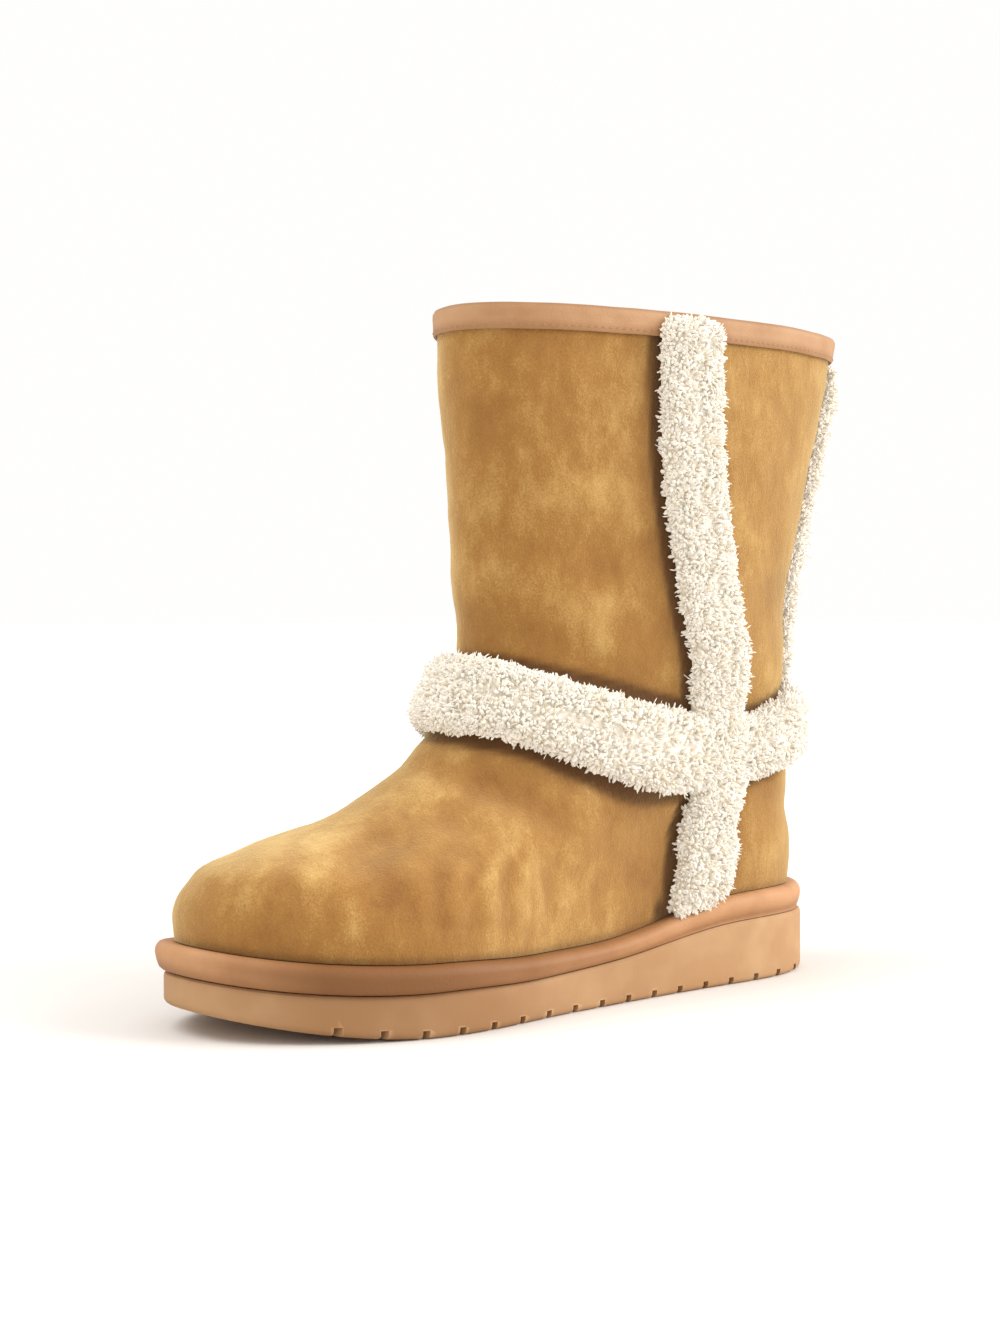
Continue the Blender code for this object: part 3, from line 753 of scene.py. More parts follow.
def suede_material(colours):
    # Twin-face sheepskin: tanned with its wool on, the flesh side buffed to a short nap and
    # dyed chestnut. The nap lies in strokes of lighter and darker brown, with no gloss but a
    # faint sheen at a low angle.
    material, shader = new_material(
        "chestnut_suede",
        Roughness=0.92,
        Specular_IOR_Level=0.18,
        Sheen_Weight=0.80,
        Sheen_Roughness=0.5,
        Sheen_Tint=(*linear("#FAE2A8"), 1.0),
    )
    place = add_node(material, "TexCoord", "Object")
    drawn = add_node(material, "Mapping", "Vector", {"Vector": place, "Scale": (1.0, 1.0, 0.55)})
    # Strokes of the buffing brush 29 mm across are broken up by patches of 8 mm. The nap's
    # fibres are 0.1 mm thick and are drawn at 0.7 mm to show in the render.
    layers = []
    for spread, size, detail, rough, bent in (
        (drawn, 29.41, 3.0, 0.55, 0.3),
        (drawn, 7.692, 5.0, 0.65, 0.2),
        (place, 0.7143, 2.0, 0.60, 0.0),
    ):
        sockets = {"Vector": spread, "Scale": from_mm(size), "Detail": detail}
        sockets.update({"Roughness": rough, "Distortion": bent})
        layers.append(add_node(material, "TexNoise", "Fac", sockets))
    _, patches, nap = layers
    # Painted highlight on the creases' ridges and painted shade in their troughs, where the nap also lies
    # differently.
    fold_shading = add_node(material, "Attribute", "Fac", attribute_name="fold_shading")
    tone = add_node(material, "Math", "Value", {"Value": fold_shading, "Value_001": 0.11}, operation="MULTIPLY")
    for layer, share in zip(layers, (0.40, 0.34, 0.26)):
        sockets = {"Value": layer, "Value_001": share, "Value_002": tone}
        tone = add_node(material, "Math", "Value", sockets, operation="MULTIPLY_ADD")
    stops = ((0.30, colours.suede_dark), (0.50, colours.suede_mid), (0.74, colours.suede_light))
    brown = add_node(material, "ValToRGB", "Color", {"Fac": tone}, stops)
    # Painted shade: a dark line in the groove beside the wool, a soft darkening spreading round the trim,
    # and a dark line where the upper meets the midsole.
    seam_shade = add_node(material, "Attribute", "Fac", attribute_name="seam_shade")
    sockets = {"Factor_Float": seam_shade, "A_Color": brown, "B_Color": (*colours.suede_seam_shade, 1.0)}
    shaded = add_node(material, "Mix", "Result_Color", sockets, data_type="RGBA")
    sockets = {"Height": patches, "Strength": 0.40, "Distance": 0.0013}
    rough = add_node(material, "Bump", "Normal", sockets)
    sockets = {"Height": nap, "Normal": rough, "Strength": 0.60, "Distance": 0.0004}
    fuzzy = add_node(material, "Bump", "Normal", sockets)
    link(material, shader, Base_Color=shaded, Normal=fuzzy)
    return material


def build_upper(sizes, colours):
    low, high = feather_rise(), COLLAR_HEIGHT - 0.0002

    def rise_of(v):
        return low + (high - low) * (0.72 * v + 0.28 * v * v)

    def relief(u, v):
        return upper_relief(u, rise_of(v), sizes)

    def place(u, v):
        return off_upper(u, rise_of(v), relief(u, v))

    # Painted highlight on ridges and painted shade in troughs, from the creases' height.
    def fold_shading(u, v):
        return np.clip(relief(u, v) * 1000 / 1.2, -1, 1)

    # Painted shade: dark beside the wool trim with a soft halo round it, and dark along the join with the
    # midsole.
    def seam_shade(u, v):
        rise = rise_of(v)
        trim = beside_trim(u, rise)
        line = np.exp(-((np.maximum(trim - 0.0020, 0) / 0.0022) ** 2)) * 0.95
        line = np.maximum(line, 0.20 * np.exp(-np.maximum(trim, 0) / 0.014))
        feather = np.exp(-(((rise - low) / 0.0022) ** 2)) * 0.55
        return np.clip(np.maximum(line, feather), 0, 1)

    piece = sheet_round("upper_suede", 208, 112, place, (("fold_shading", fold_shading), ("seam_shade", seam_shade)))
    thicken(piece, SUEDE_SHELL, -1.0)
    shade(piece)
    hand_over(piece, suede_material(colours), "upper")


# Wool


def lock_shape(hook, twist):
    """One lock of wool, modelled once: a slim four-sided tuft that hooks over at its tip.

    Returns its cross-section and its path at each point, both for a lock 1 long and 1
    wide, and its faces."""
    piece = bar(4, 2, 2, location=(0, 0, 0.5))
    bpy.ops.mesh.select_all(action="DESELECT")
    bpy.ops.mesh.select_mode(type="VERT")
    shape = bmesh.from_edit_mesh(piece.data)
    for vertex in shape.verts:
        vertex.select = vertex.co.z > 0.99
    shape.select_flush_mode()
    bmesh.update_edit_mesh(piece.data)
    bpy.ops.mesh.merge(type="CENTER")
    points, faces = taken(piece)
    levels = (0.0, 0.34, 0.67, 1.0)
    cross = points * np.array([1.0, 0.7, 0.0])
    cross *= np.interp(points[:, 2], levels, (0.8, 1.05, 0.95, 0.0))[:, None]
    rise = np.interp(points[:, 2], levels, (0.0, 0.45, 0.84, 1.0))
    path = np.column_stack([hook * rise**2, twist * np.sin(rise * 3.0), rise])
    return cross, path, faces


def plant_locks(name, roots, outward, lengths, widths, seed):
    """Copies the lock shapes to all the roots, turned at random about their directions,
    and joins them in one object."""
    chance = np.random.default_rng(seed)
    kinds = [lock_shape(0.35, 0.12), lock_shape(0.22, -0.16), lock_shape(0.50, 0.05)]
    count = len(roots)
    spin = chance.uniform(0, 2 * math.pi, count)
    kind = chance.integers(0, len(kinds), count)
    tint = chance.uniform(0, 1, count)
    guide = np.where(np.abs(outward[:, 2:3]) < 0.9, [[0.0, 0.0, 1.0]], [[0.0, 1.0, 0.0]])
    side = unit(np.cross(outward, guide))
    other = np.cross(outward, side)
    first = side * np.cos(spin)[:, None] + other * np.sin(spin)[:, None]
    second = np.cross(outward, first)
    points, tips, tints, faces, base = [], [], [], [], 0
    for number, (cross, path, shape) in enumerate(kinds):
        chosen = np.flatnonzero(kind == number)
        w, n = widths[chosen, None], lengths[chosen, None]
        offsets = (cross[:, 0] * w + path[:, 0] * n, cross[:, 1] * w + path[:, 1] * n, path[:, 2] * n)
        axes = (first[chosen], second[chosen], outward[chosen])
        made, copies = copied(roots[chosen], axes, offsets, shape, base)
        points.append(made)
        faces += copies
        tips.append(np.tile(path[:, 2], len(chosen)))
        tints.append(np.repeat(tint[chosen], len(cross)))
        base += len(made)
    piece = new_piece(name, np.concatenate(points), faces)
    mark_points(piece, "tip", np.concatenate(tips))
    mark_points(piece, "tint", np.concatenate(tints))
    return piece


def joined(name, *pieces):
    select(*pieces)
    bpy.ops.object.join()
    bpy.ops.object.shade_smooth()
    pieces[0].name = pieces[0].data.name = name
    return pieces[0]


def lean_out(directions, normals, least):
    """Turns directions away from the skin where they lie flatter on it than that."""
    short = np.maximum(least - (directions * normals).sum(axis=1), 0)
    return unit(directions + normals * short[:, None] * 1.6)


def wool_material(name, colours):
    # Shearling: the sheep's own wool, left on the skin, combed up and clipped to one length.
    # It is off-white at the clipped tips and fully matt; the creamier colour down among the locks is
    # painted shade.
    # A faint glow stands in for the light that the fibres pass on to each other.
    material, shader = new_material(
        name,
        Roughness=1.0,
        Specular_IOR_Level=0.1,
        Sheen_Weight=0.35,
        Sheen_Roughness=0.6,
        Sheen_Tint=(1.0, 0.98, 0.94, 1.0),
        Emission_Color=(1.0, 0.93, 0.80, 1.0),
        Emission_Strength=0.11,
    )
    place = add_node(material, "TexCoord", "Object")
    depth = add_node(material, "Attribute", "Fac", attribute_name="tip")
    # Down among the locks the colour is darker: painted shade.
    root, tip = colours.wool_root_shade, colours.wool_tip
    between = tuple(0.35 * a + 0.65 * b for a, b in zip(root, tip))
    stops = ((0.0, root), (0.45, between), (1.0, tip))
    cream_with_root_shade = add_node(material, "ValToRGB", "Color", {"Fac": depth}, stops)
    # Some locks are warmer than others, in clumps of 6 mm.
    tint = add_node(material, "Attribute", "Fac", attribute_name="tint")
    sockets = {"Vector": place, "Scale": from_mm(6.25), "Detail": 2.0}
    clumps = add_node(material, "TexNoise", "Fac", sockets)
    sockets = {"Value": tint, "Value_001": clumps}
    uneven = add_node(material, "Math", "Value", sockets, operation="MULTIPLY")
    sockets = {"Factor_Float": uneven, "A_Color": cream_with_root_shade, "B_Color": (*linear("#FAF0DC"), 1.0)}
    warm = add_node(material, "Mix", "Result_Color", sockets, data_type="RGBA", blend_type="MULTIPLY")
    # Single fibres are 0.03 mm thick and are drawn as 0.5 mm crimps to show in the render.
    sockets = {"Vector": place, "Scale": from_mm(0.5), "Detail": 2.0, "Roughness": 0.6}
    crimp = add_node(material, "TexNoise", "Fac", sockets)
    bump = add_node(material, "Bump", "Normal", {"Height": crimp, "Strength": 0.5, "Distance": 0.0004})
    link(material, shader, Base_Color=warm, Normal=bump)
    return material


def full_at(t, reach):
    """How full a strip is at t from an end that is rounded over that reach."""
    return np.sqrt(1 - (1 - np.clip(t / reach, 0, 1)) ** 2) if reach else np.ones_like(t)


def strip_dome(edges, lift, ends, height, draw_in):
    """A function of (t, q) that gives the points of a strip's dome: t from 0 to 1 along
    it, and q from -1 to 1 over it, from one edge to the other."""

    def dome(t, q):
        t, q = np.broadcast_arrays(np.asarray(t, float), np.asarray(q, float))
        full = full_at(t, ends[0]) * full_at(1 - t, ends[1])
        angle = q * math.pi / 2
        s = np.sign(angle) * np.abs(np.sin(angle)) ** 0.72
        up = np.abs(np.cos(angle)) ** 0.62
        turn, rise = edges(t, s * (0.45 + 0.55 * full) * draw_in)
        return off_upper(turn, rise, TRIM_GAP + lift(rise) + height * up * (0.25 + 0.75 * full))

    return dome


def wool_strip(name, edges, lift, ends, sizes, seed):
    """A strip of shearling: a dome of packed wool with a coat of locks."""
    dome = strip_dome(edges, lift, ends, TRIM_HEIGHT - sizes.lock_length * DOME_SUNK, sizes.draw_in)
    line = dome(np.linspace(0, 1, 200), np.zeros(200))
    length = np.linalg.norm(np.diff(line, axis=0), axis=1).sum()
    arc = dome(np.full(60, 0.5), np.linspace(-1, 1, 60))
    girth = np.linalg.norm(np.diff(arc, axis=0), axis=1).sum()

    def ring(u, t):
        top = u < DOME_TOP
        q = np.where(top, u / DOME_TOP * 2 - 1, 1 - (u - DOME_TOP) / (1 - DOME_TOP) * 2)
        full = full_at(t, ends[0]) * full_at(1 - t, ends[1])
        turn, rise = edges(t, q * (0.45 + 0.55 * full) * sizes.draw_in)
        bed = off_upper(turn, rise, TRIM_GAP + lift(rise))
        return np.where(top[:, None], dome(t, q), bed)

    rings = max(int(length / RING_STEP), 8)

    def place(u, v):
        step = np.round(v * (rings + 4)) - 2
        t = np.clip(step / rings, 0, 1)
        beyond = np.maximum(-step, step - rings).clip(0, 2) / 2
        middle = edges(t, t * 0)
        middle = off_upper(*middle, TRIM_GAP + lift(middle[1]) + 0.001)
        return ring(u, t) + (middle - ring(u, t)) * beyond[:, None]

    # The packed wool under the locks takes a colour part way into the painted shade at the roots.
    marks = (("tip", even(BED_TIP)), ("tint", even(0.4)))
    base = sheet_round(name + "_base", 40, rings + 4, place, marks)
    shade(base)

    chance = np.random.default_rng(seed)
    rows, files = int(length / sizes.lock_spacing), int(girth / sizes.lock_spacing)
    t, q = (np.arange(rows) + 0.5) / rows, ((np.arange(files) + 0.5) / files) * 2 - 1
    t, q = np.meshgrid(t, q, indexing="ij")
    t = np.clip(t.ravel() + chance.uniform(-0.55, 0.55, t.size) / rows, 0.002, 0.998)
    q = np.clip(q.ravel() + chance.uniform(-1.1, 1.1, q.size) / files, -0.985, 0.985)
    roots = dome(t, q)
    d = 2e-3
    along = dome(np.clip(t + d, 0, 1), q) - dome(np.clip(t - d, 0, 1), q)
    across = dome(t, np.clip(q + d, -1, 1)) - dome(t, np.clip(q - d, -1, 1))
    normal = unit(np.cross(across, along))
    turn, rise = edges(t, q * 0)
    away = roots - upper_point(turn, rise) + upper_normal(turn, rise) * 0.004
    normal *= np.sign((normal * away).sum(axis=1))[:, None]
    clump = clumped(roots, TRIM_CLUMP, seed)
    fine = chance.normal(0, 0.18, roots.shape)
    outward = unit(normal + clump * LOCK_LEAN + fine + np.array([0.0, 0.0, -0.08]))
    outward = lean_out(outward, normal, 0.25)
    size = rolling(roots, 0.005, seed + 9, 2)
    lengths = sizes.lock_length * (1 + 0.30 * size + chance.uniform(-0.18, 0.18, len(roots)))
    lengths *= 1 - 0.18 * np.abs(q) ** 3
    widths = sizes.lock_width * chance.uniform(0.7, 1.3, len(roots))
    locks = plant_locks(name + "_locks", roots - outward * LOCK_BURIED, outward, lengths, widths, seed)
    # Loose wisps, thinner and longer than the locks, fray the outline.
    loose = chance.random(len(roots)) < WISPS
    frayed = unit(outward[loose] + chance.normal(0, 0.35, (int(loose.sum()), 3)))
    frayed = lean_out(frayed, normal[loose], 0.30)
    longer, thinner = lengths[loose] * WISP_LENGTH, widths[loose] * WISP_WIDTH
    wisps = plant_locks(name + "_wisps", roots[loose], frayed, longer, thinner, seed + 40)
    return joined(name, base, locks, wisps)


def no_lift(rise):
    return np.zeros(np.shape(rise))


def over_binding(rise):
    """Lifts the wool over the collar's binding."""
    edge = COLLAR_HEIGHT - BINDING_DROP
    return (GAP + BINDING_THICKNESS) * ease((rise - edge + 0.004) / 0.003)


def build_side_strip(name, side, sizes, seed):
    top, bottom = COLLAR_HEIGHT - STRIP_DROP, feather_rise() + TRIM_GAP

    def edges(t, s):
        rise = top + (bottom - top) * t
        middle = side_turn(rise, side)
        return middle + s * strip_reach(rise, middle), rise

    return wool_strip(name, edges, over_binding, (0.03, 0.05), sizes, seed)


def build_ankle_band(name, front, sizes, seed):
    toward = 1 if front else -1

    def ends(rise):
        found = []
        for side, way in ((1, toward), (-1, -toward)):
            middle = side_turn(rise, side)
            under = BAND_UNDERLAP * turn_per_metre(middle, rise)
            found.append(middle + way * (strip_reach(rise, middle) - under))
        return found[0], found[1] if front else found[1] - 1

    def edges(t, s):
        a, b = ends(ANKLE_HEIGHT * 0.74)
        rise = band_rise(a + (b - a) * t, s)
        a, b = ends(rise)
        return a + (b - a) * t, rise

    return wool_strip(name, edges, no_lift, (0.0, 0.0), sizes, seed)


def build_back_strip(name, sizes, seed):
    top = COLLAR_HEIGHT - BINDING_DROP - GAP * 2
    bottom = float(band_rise(0.0, 1)) - BAND_UNDERLAP

    def edges(t, s):
        rise = top + (bottom - top) * t
        return s * BACK_STRIP_WIDTH / 2 * turn_per_metre(0.0, rise), rise

    return wool_strip(name, edges, no_lift, (0.03, 0.0), sizes, seed)


def build_trim(sizes, colours):
    pieces = (
        ("side_strip_outer", build_side_strip("side_wool_outer", 1, sizes, 11)),
        ("side_strip_inner", build_side_strip("side_wool_inner", -1, sizes, 12)),
        ("ankle_band_front", build_ankle_band("ankle_wool_front", True, sizes, 13)),
        ("ankle_band_back", build_ankle_band("ankle_wool_back", False, sizes, 14)),
        ("back_strip", build_back_strip("back_wool", sizes, 15)),
    )
    for node, piece in pieces:
        hand_over(piece, wool_material("shearling_" + node, colours), node)


# Lining and insole


def build_lining(sizes, colours):
    low, high = feather_rise() + 0.004, COLLAR_HEIGHT - 0.003

    def place(u, v):
        rise = low + (high - low) * v
        curls = CURL_HEIGHT * rolling(upper_point(u, rise), CURL_WIDTH, 3)
        dents = np.minimum(upper_relief(u, rise, sizes), 0)
        return off_upper(u, rise, -LINING_DEPTH + curls + dents)

    # The skin takes a colour halfway into the painted shade at the locks' roots.
    marks = (("tip", even(0.5)), ("tint", even(0.5)))
    skin = sheet_round("lining_skin", 128, 72, place, marks)
    thicken(skin, LINING_SHELL, 1.0)
    shade(skin)
    chance = np.random.default_rng(41)
    roots, outward, wide = [], [], []
    rise = COLLAR_HEIGHT - 0.0045
    while rise > low + 0.012:
        # Down in the shaft, where little is seen, the locks are larger and further apart.
        depth = (COLLAR_HEIGHT - rise) / COLLAR_HEIGHT
        spacing = sizes.pile_spacing * (1 + 1.6 * ease((depth - 0.15) / 0.5))
        girth = 1 / float(np.mean(turn_per_metre(np.arange(32) / 32, rise)))
        count = int(girth / spacing)
        turn = (np.arange(count) + chance.uniform(-0.4, 0.4, count) + chance.uniform()) / count
        level = np.clip(rise + chance.uniform(-0.5, 0.5, count) * spacing, low, high)
        dents = np.minimum(upper_relief(turn % 1, level, sizes), 0)
        roots.append(off_upper(turn, level, dents - LINING_DEPTH + LOCK_BURIED))
        outward.append(-upper_normal(turn, level))
        wide.append(np.full(count, spacing / sizes.pile_spacing))
        rise -= spacing
    roots, outward, wide = np.concatenate(roots), np.concatenate(outward), np.concatenate(wide)
    clump = clumped(roots, LINING_CLUMP, 50)
    normal = outward
    # Just under the rim the locks hang down, so that none stands up over the binding.
    hang = 0.1 + 0.9 * ease(1 - (COLLAR_HEIGHT - 0.004 - roots[:, 2]) / 0.009)
    outward = unit(normal + clump * 0.8 + chance.normal(0, 0.2, roots.shape))
    outward = unit(outward - hang[:, None] * [0.0, 0.0, 1.0])
    outward = lean_out(outward, normal, 0.45)
    lengths = sizes.pile_length * chance.uniform(0.75, 1.2, len(roots)) * wide**0.3
    widths = sizes.lock_width * PILE_WIDTH * chance.uniform(0.8, 1.2, len(roots)) * wide
    locks = plant_locks("lining_locks", roots, outward, lengths, widths, 42)
    piece = joined("lining", skin, locks)
    hand_over(piece, wool_material("shearling_lining", colours), None)


def build_insole(sizes, colours):
    rise = feather_rise()

    def ring(u, off, height):
        points = off_upper(u, rise, -WALL - off)
        points[:, 2] = feather_height(along_sole(points[:, 1])) + GAP + height
        return points

    def inside(u, inset):
        points = ring(u, inset, 0.0)
        return points[:, :2], along_sole(points[:, 1])

    rings = []
    for inset, height, drawn in (
        (0.0014, 0.0, 1.0), (0.0014, 0.0, 0.5), (0.0014, 0.0, 0.0), (0.0010, 0.0020, 0.0),
        (0.0016, 0.0038, 0.0), (0.0045, 0.0048, 0.0), (0.0045, 0.0048, 0.5), (0.0045, 0.0048, 1.0),
    ):
        rings.append((
            lambda u, inset=inset: inset,
            lambda s, height=height: feather_height(s) + GAP + height,
            drawn,
        ))
    # The pad takes a colour part way into the painted shade at the locks' roots.
    marks = (("tip", even(BED_TIP)), ("tint", even(0.5)))
    pad = plate("insole_pad", 120, rings, inside, marks)
    shade(pad)
    chance = np.random.default_rng(61)
    edge = ring(np.arange(400) / 400, 0.006, 0.0)
    roots = []
    for y in np.arange(edge[:, 1].min() + 0.003, edge[:, 1].max() - 0.003, INSOLE_SPACING):
        near = edge[np.abs(edge[:, 1] - y) < 0.004]
        left, right = near[:, 0].min(), near[:, 0].max()
        count = max(int((right - left) / INSOLE_SPACING), 2)
        x = np.linspace(left, right, count) + chance.uniform(-0.0012, 0.0012, count)
        yy = y + chance.uniform(-0.0014, 0.0014, count)
        roots.append(np.column_stack([x, yy, feather_height(along_sole(yy)) + GAP + 0.0042]))
    roots = np.concatenate(roots)
    clump = clumped(roots, INSOLE_CLUMP, 70)
    outward = unit(np.array([0.0, 0.0, 1.0]) + clump * 0.8 + chance.normal(0, 0.3, roots.shape))
    lengths = INSOLE_PILE * chance.uniform(0.75, 1.2, len(roots))
    widths = sizes.lock_width * PILE_WIDTH * chance.uniform(0.8, 1.2, len(roots))
    locks = plant_locks("insole_locks", roots, outward, lengths, widths, 62)
    piece = joined("insole_fleece", pad, locks)
    hand_over(piece, wool_material("shearling_footbed", colours), "insole")


# Binding and stitches


def darken_edge_and_shade(material, colour):
    """That colour, darkened as far as the piece's edge mark says, mostly as painted shade."""
    edge = add_node(material, "Attribute", "Fac", attribute_name="edge")
    sockets = {"Factor_Float": edge, "A_Color": colour, "B_Color": (*linear(DARK_EDGE_AND_SHADE), 1.0)}
    return add_node(material, "Mix", "Result_Color", sockets, data_type="RGBA")


def leather_material(name, base, light, deep, pore):
    # Split leather cut in strips, its face buffed and sealed: an even tan with fine pores
    # and a soft, dry gloss where it bends. The edge mark darkens it: painted shade on the
    # midsole's lower half and forefoot side and on the binding's turned-under parts, and a
    # darker line along the binding's folded top. The mottling is 17 mm across. The pores
    # are finer than 0.2 mm, and are drawn pore mm apart to show in the render.
    material, shader = new_material(name, Roughness=0.62, Specular_IOR_Level=0.35)
    place = add_node(material, "TexCoord", "Object")
    sockets = {"Vector": place, "Scale": from_mm(16.667), "Detail": 4.0}
    mottle = add_node(material, "TexNoise", "Fac", sockets)
    sockets = {"Vector": place, "Scale": from_mm(pore)}
    pores = add_node(material, "TexVoronoi", "Distance", sockets, feature="F1")
    stops = ((0.15, deep), (0.50, base), (0.85, light))
    tan = add_node(material, "ValToRGB", "Color", {"Fac": mottle}, stops)
    bump = add_node(material, "Bump", "Normal", {"Height": pores, "Strength": 0.35, "Distance": 0.0002})
    sockets = {"Height": mottle, "Normal": bump, "Strength": 0.3, "Distance": 0.0010}
    soft = add_node(material, "Bump", "Normal", sockets)
    link(material, shader, Base_Color=darken_edge_and_shade(material, tan), Normal=soft)
    return material


def build_binding(sizes, colours):
    out, inn = GAP + BINDING_THICKNESS, -WALL - GAP - BINDING_THICKNESS
    top = COLLAR_HEIGHT + GAP + BINDING_THICKNESS
    # The strip's outline: how far off the upper's face, and how far below the top of the folded edge.
    profile = np.array([
        (GAP, BINDING_DROP + 0.0012), (out - 0.0003, BINDING_DROP + 0.0014), (out, BINDING_DROP + 0.0009),
        (out, 0.0060), (out + 0.0001, 0.0035), (out, 0.0018), (out - 0.0007, 0.0006), (out - 0.0022, 0.0),
        (inn + 0.0022, 0.0), (inn + 0.0007, 0.0006), (inn, 0.0018), (inn, 0.0050),
        (inn, BINDING_DROP + 0.0010), (inn + 0.0006, BINDING_DROP + 0.0014),
        (-WALL - GAP, BINDING_DROP + 0.0010), (-WALL - GAP, 0.0020), (GAP, 0.0020),
    ])
    steps = len(profile)

    def corner(v):
        """The outline's point at v, as its two distances."""
        return profile[np.floor(v * steps + 1e-6).astype(int) % steps].T

    def place(u, v):
        off, drop = corner(v)
        level = top - drop
        points = off_upper(u, np.minimum(level, COLLAR_HEIGHT), off)
        wave = rolling(upper_point(u, COLLAR_HEIGHT), 0.03, 8, 2)
        points[:, 2] = level + BINDING_WAVE * wave
        return points

    # Darker along the top of the folded edge, and painted shade on the turned-under parts.
    def dark_top_and_shade(u, v):
        _, drop = corner(v)
        return 0.55 * np.exp(-((drop / 0.0012) ** 2)) + 0.35 * (drop > BINDING_DROP)

    piece = sheet_round("collar_binding_leather", 220, steps, place, (("edge", dark_top_and_shade),))
    shade(piece, 50)
    light, deep = linear("#BA916B"), linear("#9C7049")
    material = leather_material("binding_leather", colours.binding, light, deep, 0.7692)
    hand_over(piece, material, "collar_binding")


def build_stitches(sizes, colours):
    points, shape = taken(bar(6, 3, 0, rotation=(0, math.pi / 2, 0)))
    x = points[:, 0]
    thick = STITCH_WIDTH * np.interp(np.abs(x), (0.0, 0.26, 0.5), (1.0, 0.95, 0.35))
    dip = 0.00025 * (2 * x) ** 4
    offsets = (x * STITCH_LENGTH, points[:, 1] * thick, points[:, 2] * thick - dip)
    rise = COLLAR_HEIGHT - BINDING_DROP + STITCH_RISE

    def on_binding(turn):
        return off_upper(turn, rise, GAP + BINDING_THICKNESS + STITCH_PROUD)

    fine = np.linspace(0, 1, 4001)
    steps = np.linalg.norm(np.diff(on_binding(fine), axis=0), axis=1)
    run = np.concatenate([[0], np.cumsum(steps)])
    count = int(run[-1] / sizes.stitch_pitch)
    turn = np.interp((np.arange(count) + 0.5) / count * run[-1], run, fine)
    middle = on_binding(turn)
    tangent = unit(on_binding(turn + 1e-3) - middle)
    normal = upper_normal(turn, rise)
    made, faces = copied(middle, (tangent, np.cross(normal, tangent), normal), offsets, shape)
    piece = new_piece("binding_stitches", made, faces)
    shade(piece)
    # Bonded nylon thread, twisted from three plies: a hard, slightly shiny tan cord. Its
    # plies show as bands 0.26 mm wide. A wave of scale 1 is pi / 10 m long.
    material, shader = new_material("bonded_thread", Roughness=0.5, Specular_IOR_Level=0.4)
    place = add_node(material, "TexCoord", "Object")
    sockets = {"Vector": place, "Scale": from_mm(0.2618) * math.pi / 10, "Distortion": 1.0}
    plies = add_node(material, "TexWave", "Fac", sockets, bands_direction="DIAGONAL")
    stops = ((0.2, linear("#8F5E36")), (0.8, linear("#BD8A58")))
    link(material, shader, Base_Color=add_node(material, "ValToRGB", "Color", {"Fac": plies}, stops))
    hand_over(piece, material, None)


# Sole


# Painted shade on the sole's side, darkest along the forefoot: how far the wrap and the foam are
# darkened.
SIDE_SHADE = table(
    ("along", "wrap", "foam"),
    (0.00, 0.00, 0.00),
    (0.24, 0.00, 0.00),
    (0.36, 0.20, 0.18),
    (0.48, 0.50, 0.28),
    (0.60, 0.78, 0.46),
    (0.74, 0.92, 0.52),
    (0.88, 0.96, 0.42),
    (0.94, 0.64, 0.18),
    (1.00, 0.08, 0.00),
)


def side_shade(turn, piece):
    _, along = sole_edge(turn, np.zeros_like(turn))
    return np.interp(along, column(SIDE_SHADE, "along"), column(SIDE_SHADE, piece))


def foam_material(colours):
    # Moulded EVA foam: light, closed-celled and matt, tan all through, in clouds of 33 mm.
    # Its cells are finer than 0.2 mm, and are drawn at 0.67 mm to show in the render.
    material, shader = new_material("moulded_foam", Roughness=0.72, Specular_IOR_Level=0.3)
    place = add_node(material, "TexCoord", "Object")
    sockets = {"Vector": place, "Scale": from_mm(33.333), "Detail": 3.0}
    cloud = add_node(material, "TexNoise", "Fac", sockets)
    sockets = {"Vector": place, "Scale": from_mm(0.66667), "Detail": 2.0}
    cells = add_node(material, "TexNoise", "Fac", sockets)
    stops = ((0.30, linear("#AC8257")), (0.52, colours.foam), (0.74, linear("#C19A71")))
    tan = add_node(material, "ValToRGB", "Color", {"Fac": cloud}, stops)
    bump = add_node(material, "Bump", "Normal", {"Height": cells, "Strength": 0.35, "Distance": 0.0002})
    # The edge mark adds painted shade along the sole's forefoot sides.
    link(material, shader, Base_Color=darken_edge_and_shade(material, tan), Normal=bump)
    return material


def arch_cutter():
    """A flat dome that hollows the sole under the arch."""
    select()
    centre = (float(sole_swing(ARCH_PLACE)), -SOLE_LENGTH * ARCH_PLACE, 0.0)
    bpy.ops.mesh.primitive_uv_sphere_add(segments=32, ring_count=12, radius=1.0)
    cutter = bpy.context.object
    size = (ARCH_WIDTH * WAIST_WIDTH, ARCH_LENGTH * SOLE_LENGTH, ARCH_HOLLOW)
    write(cutter, read(cutter) * size + centre + SHIFT)
    return cutter


def tread_cutter():
    """Bars that cut the chevron grooves, one bent bar for each groove."""
    points, faces = [], []
    for along in np.arange(GROOVE_START, GROOVE_END, LUG_LENGTH / SOLE_LENGTH):
        y, floor = -SOLE_LENGTH * along, float(sole_underside(along))
        first = len(points)
        swept = LUG_LENGTH * CHEVRON_SWEEP
        for x, back in ((-BALL_WIDTH, swept), (0.0, 0.0), (BALL_WIDTH, swept)):
            for dy in (-GROOVE_WIDTH / 2, GROOVE_WIDTH / 2):
                for z in (-GROOVE_DEPTH, floor + GROOVE_DEPTH):
                    points.append((x, y + back + dy, z))
        for a in (first, first + 4):
            b = a + 4
            faces += [(a, a + 1, b + 1, b), (a + 2, b + 2, b + 3, a + 3)]
            faces += [(a, b, b + 2, a + 2), (a + 1, a + 3, b + 3, b + 1)]
        faces += [(first, first + 2, first + 3, first + 1)]
        faces += [(first + 8, first + 9, first + 11, first + 10)]
    cutter = new_piece("tread_cutter", points, faces)
    face_outwards(cutter)
    return cutter


